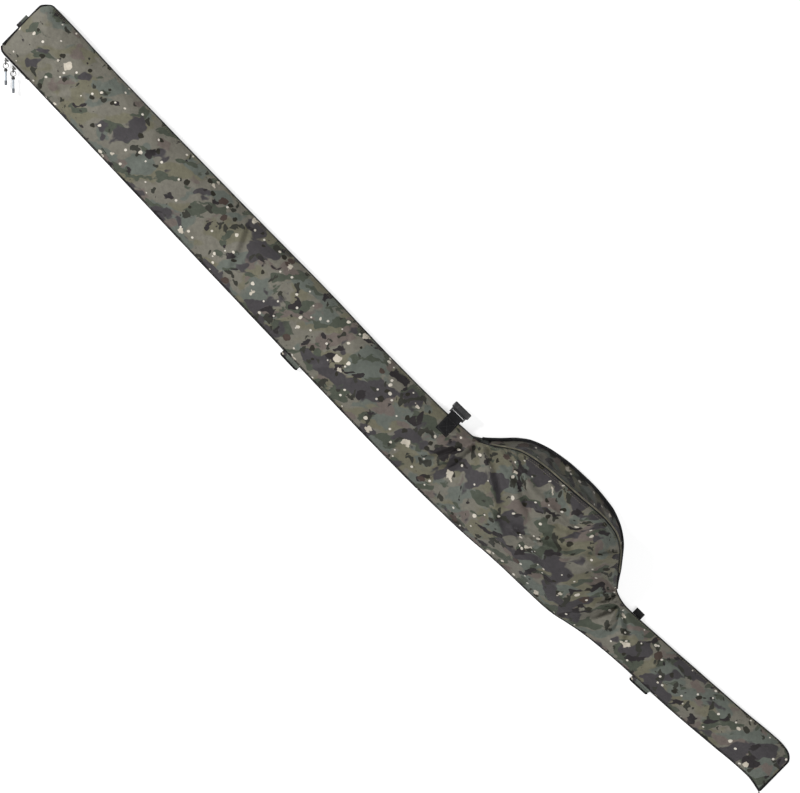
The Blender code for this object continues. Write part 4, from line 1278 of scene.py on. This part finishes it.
def make_clip_webbing():
    """The strap's end, turned round the buckle's bar and led back under the patch."""
    lo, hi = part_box("clip_webbing")
    pin_y, pin_z = pivot_of("clip_swing")[1:]
    radius, thick = 0.0023, 0.0013
    start_y = lo[1] - 0.0015
    patch_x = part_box("clip_patch")[0][0] + 0.0135
    start_z = float(front_z(np.array(patch_x), np.array(start_y), WEBBING_DETAIL)) + 0.0012
    line = [(start_y + dy, start_z + dz) for dy, dz in ((0.0, 0.0022), (0.0012, 0.0020), (0.0034, 0.0010))]
    line += [(pin_y + (radius + thick) * math.cos(a), pin_z + (radius + thick) * math.sin(a))
             for a in np.radians(np.linspace(450.0, 212.0, 22))]
    line += [(start_y + 0.003, start_z - 0.0014), (start_y, start_z - 0.0004)]
    section = thick_section(np.array(line)[None], -thick)[0]
    rings = []
    for share in np.linspace(0.0, 1.0, 15):
        across = np.full(len(section), lo[0] + (hi[0] - lo[0]) * share)
        ripple = 0.00012 * math.sin(share * 40.0)
        rings.append(np.stack([across, section[:, 0], section[:, 1] + ripple], axis=1))
    finish_piece(swept("clip_strap", rings), webbing_cloth, "tip_cover", "black_webbing", "clip_webbing")


def make_buckle():
    """Socket of a side-release buckle: bar, two arms, and a wide mouth with grips and ribs."""
    lo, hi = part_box("clip_buckle")
    x, pin_y, pin_z = pivot_of("clip_swing")
    depth = 0.0130
    mouth_y = hi[1] - depth / 2
    back_y = hi[1] - depth
    width = hi[0] - lo[0]
    body = moulding("buckle", (x, mouth_y, pin_z), (width, depth, 0.0090), 0.0034, 5)
    # Two arms that hold the bar, and a grip cut into each side of the mouth.
    arm_low, arm_high = pin_y - 0.0022, back_y + 0.002
    arm_size = (0.0034, arm_high - arm_low, 0.0058)
    for side in (-1, 1):
        add_block(body, (x + side * 0.01535, (arm_low + arm_high) / 2, pin_z), arm_size, 0.0010, 3)
        grip_place = (x + side * (width / 2 - 0.0004), mouth_y, pin_z)
        cut_block(body, grip_place, (0.0040, 0.0062, 0.0052), 0.0009, 2)
    # A thin web with a lip between the arms.
    web_low, web_high = pin_y + 0.0068, back_y + 0.003
    web_place = (x, (web_low + web_high) / 2, pin_z)
    web = moulding("web", web_place, (0.0280, web_high - web_low, 0.0042), 0.0006, 3)
    add_block(web, (x, pin_y + 0.0058, pin_z - 0.00145), (0.0280, 0.0032, 0.0013), 0.0003, 2)
    combined(body, web, "UNION")
    bar = [(x + across, pin_y, pin_z) for across in (-0.0152, 0.0, 0.0152)]
    combined(body, tube("bar", bar, 0.0016, 16), "UNION")
    # The mouth's throat, and a recess with three ribs on its upper face.
    cut_block(body, (x, mouth_y + 0.004, pin_z), (width - 0.010, depth, 0.0054), 0.0008, 2)
    ribs_y = mouth_y - 0.0006
    cut_block(body, (x, ribs_y, pin_z + 0.0050), (width - 0.018, 0.0066, 0.0022), 0.0005, 2)
    for k in (-1, 0, 1):
        add_block(body, (x + k * 0.0056, ribs_y, pin_z + 0.0040), (0.0022, 0.0050, 0.0012), 0.0003, 2)
    finish_cuts(body)
    finish_piece(body, acetal, "clip", "black_acetal", "clip_buckle")


# ------------------------------------------------------------------ sliders and pulls
PULL_ANGLE = math.radians(-45.0)
PULL_ALONG = np.array([math.cos(PULL_ANGLE), math.sin(PULL_ANGLE), 0.0])
PULL_UP = np.array([0.0, 0.0, 1.0])
PULL_SIDE = np.cross(PULL_ALONG, PULL_UP)


def make_slider(number):
    """Zip slider: a block notched at both ends, a rail behind it, and an arch for the pull."""
    node = "slider_%d" % number
    lo, hi = (Vector(corner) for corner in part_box(node))
    pivot = pivot_of("pull_%d_swing" % number)
    middle = (lo + hi) / 2
    plate_y = hi.y - 0.0015
    body = moulding("wing", (middle.x, plate_y, middle.z), (0.0094, 0.0030, 0.0068), 0.0012, 4)
    add_block(body, (middle.x, plate_y - 0.0013, middle.z), (0.0070, 0.0012, 0.0042), 0.0004, 3)
    for side in (-1, 1):
        notch_place = (middle.x + side * 0.0052, plate_y, middle.z)
        cut_block(body, notch_place, (0.0030, 0.0040, 0.0022), 0.0006, 2)
    bridge = [(pivot.x + 0.0026 * math.cos(a), pivot.y + 0.0014 - 0.0026 * math.sin(a), pivot.z)
              for a in np.linspace(0.0, math.pi, 15)]
    combined(body, tube("arch", bridge, 0.0008, 10), "UNION")
    finish_cuts(body, 45)
    finish_piece(body, nickel, node, "nickel", node)


def turned_rings(pivot, distances, radii, sides=20):
    """Rings of a piece turned about the pull's axis."""
    angle = 2 * math.pi * np.arange(sides) / sides
    return [pivot + PULL_ALONG * distance + PULL_SIDE * (np.cos(angle) * radius)[:, None]
            + PULL_UP * (np.sin(angle) * radius)[:, None] for distance, radius in zip(distances, radii)]


def link_line(pivot, half_length, half_width, count=40):
    """The pull's wire link: straight sides and round ends, from the pivot outwards."""
    angle = 2 * math.pi * (np.arange(count) + 0.5) / count
    shift = np.sign(np.cos(angle)) * (half_length - half_width) + half_width * np.cos(angle)
    rise = half_width * np.sin(angle)
    return pivot + PULL_ALONG * (half_length + shift)[:, None] + PULL_UP * rise[:, None]


def make_pull(number):
    """Wire link, split ring, bead, ribbed cord sleeve and moulded end."""
    tag = "pull_%d" % number
    pivot = np.array(pivot_of(tag + "_swing"))
    link = tube(tag + "_wire", link_line(pivot, 0.0035, 0.0028), 0.00095, 12, True)
    finish_piece(link, dark_steel, tag, "nickel", tag + "_link")
    turns = np.linspace(0.0, 4 * math.pi * 0.97, 84)
    ring_line = (pivot + PULL_ALONG * (0.0090 + 0.0050 * np.cos(turns))[:, None]
                 + PULL_SIDE * (0.0050 * np.sin(turns))[:, None]
                 + PULL_UP * ((turns / turns[-1] - 0.5) * 0.0013)[:, None])
    ring = tube(tag + "_split_ring", ring_line, 0.00082, 10)
    finish_piece(ring, nickel, tag, "nickel", tag + "_ring")

    def turned(name, node, material, slot, start, distances, radii):
        item = swept(tag + "_" + name, turned_rings(pivot, start + distances, radii))
        finish_piece(item, material, tag, slot, tag + "_" + node)

    share = np.linspace(0.0, 1.0, 15)
    bead = 0.0034 * (1.0 - 0.45 * (np.abs(share - 0.5) * 2) ** 4)
    turned("bead_turned", "bead", acetal, "black_acetal", 0.0150, 0.0052 * share, bead)
    share = np.linspace(0.0, 1.0, 47)
    stem = 0.00205 + 0.00010 * np.sin(share * 60.0) + 0.00025 * (np.abs(share - 0.5) * 2) ** 6
    turned("stem_sleeve", "stem", cord_sleeve, "pull_cord", 0.0202, 0.0165 * share, stem)
    share = np.linspace(0.0, 1.0, 31)
    grip = 0.00265 - 0.0009 * np.clip((share - 0.85) / 0.15, 0, 1) ** 2 + 0.00012 * np.sin(share * 42.0)
    turned("end_grip", "end", end_grey, "pull_end", 0.0370, 0.0085 * share, grip)


def make_stop(node):
    """Crimped metal stop with a pressed groove across its middle."""
    lo, hi = (Vector(corner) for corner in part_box(node))
    size = hi - lo
    body = moulding(node + "_crimp", (lo + hi) / 2, size, 0.0009, 4)
    long_axis = 0 if size.x > size.y else 1
    groove = Vector(size) * 1.3
    groove[long_axis] = 0.0007
    shift = Vector((0, 0, 0))
    shift[1 - long_axis] = -0.00256 if long_axis == 0 else 0.00256
    cut_block(body, (lo + hi) / 2 + shift, groove, 0.0001, 1)
    finish_cuts(body)
    finish_piece(body, nickel, "back", "nickel", node)


# ------------------------------------------------------------ floor, lights and camera
def area_light(name, place, size, power):
    """A round lamp turned towards the middle of the sleeve."""
    data = bpy.data.lights.new(name, "AREA")
    data.shape = "DISK"
    data.size = size
    data.energy = power
    item = bpy.data.objects.new(name, data)
    item.location = place
    item.rotation_mode = "QUATERNION"
    item.rotation_quaternion = (-Vector(place)).to_track_quat("-Z", "Y")
    bpy.context.scene.collection.objects.link(item)


FLOOR_GLOW = 0.68
FLOOR_HALF = 40.0


def make_stage():
    """A pale table lit from below as well, which keeps the shadows on it light."""
    mesh = bpy.data.meshes.new("floor")
    corners = [(x * FLOOR_HALF, y * FLOOR_HALF, 0) for x, y in ((-1, -1), (1, -1), (1, 1), (-1, 1))]
    mesh.from_pydata(corners, [], [(0, 1, 2, 3)])
    floor = bpy.data.objects.new("floor", mesh)
    floor.location.z = -0.0004
    bpy.context.scene.collection.objects.link(floor)
    g = Graph("floor_paint")
    g.set(Base_Color=(0.32, 0.32, 0.32, 1.0), Roughness=0.9, Emission_Color=(1.0, 1.0, 1.0, 1.0),
          Emission_Strength=FLOOR_GLOW)
    mesh.materials.append(g.material)


WORLD_GLOW = 0.26
# Lamps: name, place to the view's right, up and above the table, size, and power in watts.
LAMPS = (("key", (-4.3, 2.5, 3.7), 1.4, 490.0), ("fill", (2.4, -3.2, 5.2), 3.8, 360.0))


def make_lights():
    """An even white surrounding, and the lamps, placed as the view is turned."""
    world = bpy.data.worlds.new("studio")
    bpy.context.scene.world = world
    world.use_nodes = True
    background = world.node_tree.nodes["Background"]
    background.inputs["Color"].default_value = (1.0, 1.0, 1.0, 1.0)
    background.inputs["Strength"].default_value = WORLD_GLOW
    right = Vector((math.cos(VIEW_TURN), math.sin(VIEW_TURN), 0.0))
    up = Vector((-math.sin(VIEW_TURN), math.cos(VIEW_TURN), 0.0))
    high = Vector((0.0, 0.0, 1.0))
    for name, (across, along, above), size, power in LAMPS:
        area_light(name, right * across + up * along + high * above, size, power)


def make_camera():
    """The view's camera, so high above the table that the sleeve is seen almost flat."""
    data = bpy.data.cameras.new("camera")
    data.sensor_width = SENSOR
    data.lens = SENSOR * VIEW_HEIGHT / VIEW_WIDTH
    data.clip_end = 100.0
    item = bpy.data.objects.new("camera", data)
    x, y, z = VIEW_CENTRE
    item.location = (x, y, z + VIEW_HEIGHT)
    item.rotation_euler = (0.0, 0.0, VIEW_TURN)
    bpy.context.scene.collection.objects.link(item)
    bpy.context.scene.camera = item


rows, fabric_grid = make_front()
make_back()
make_gusset()
make_neck_flap()
make_zip()
make_wall_foot_tape_and_shade()
make_binding("tip_binding", ZIP_WRAP_END_X + 0.008, NECK_X)
make_binding("butt_binding", NECK_X + 0.001, BUTT_X)
make_piping()
make_top_stitching(rows, fabric_grid)
for tab in ("tip_side_tab", "butt_side_tab"):
    make_tab(tab)
make_loop("tip_loop", camo, 0, "camo_fabric", 0.006)
make_loop("butt_loop", webbing_cloth, 1, "black_webbing")
make_clip_patch()
make_clip_webbing()
make_buckle()
for number in (1, 2):
    make_slider(number)
    make_pull(number)
for stop in ("zip_stop_tip", "zip_stop_butt"):
    make_stop(stop)
make_stage()
make_lights()
make_camera()
bpy.context.scene.view_settings.view_transform = "Standard"
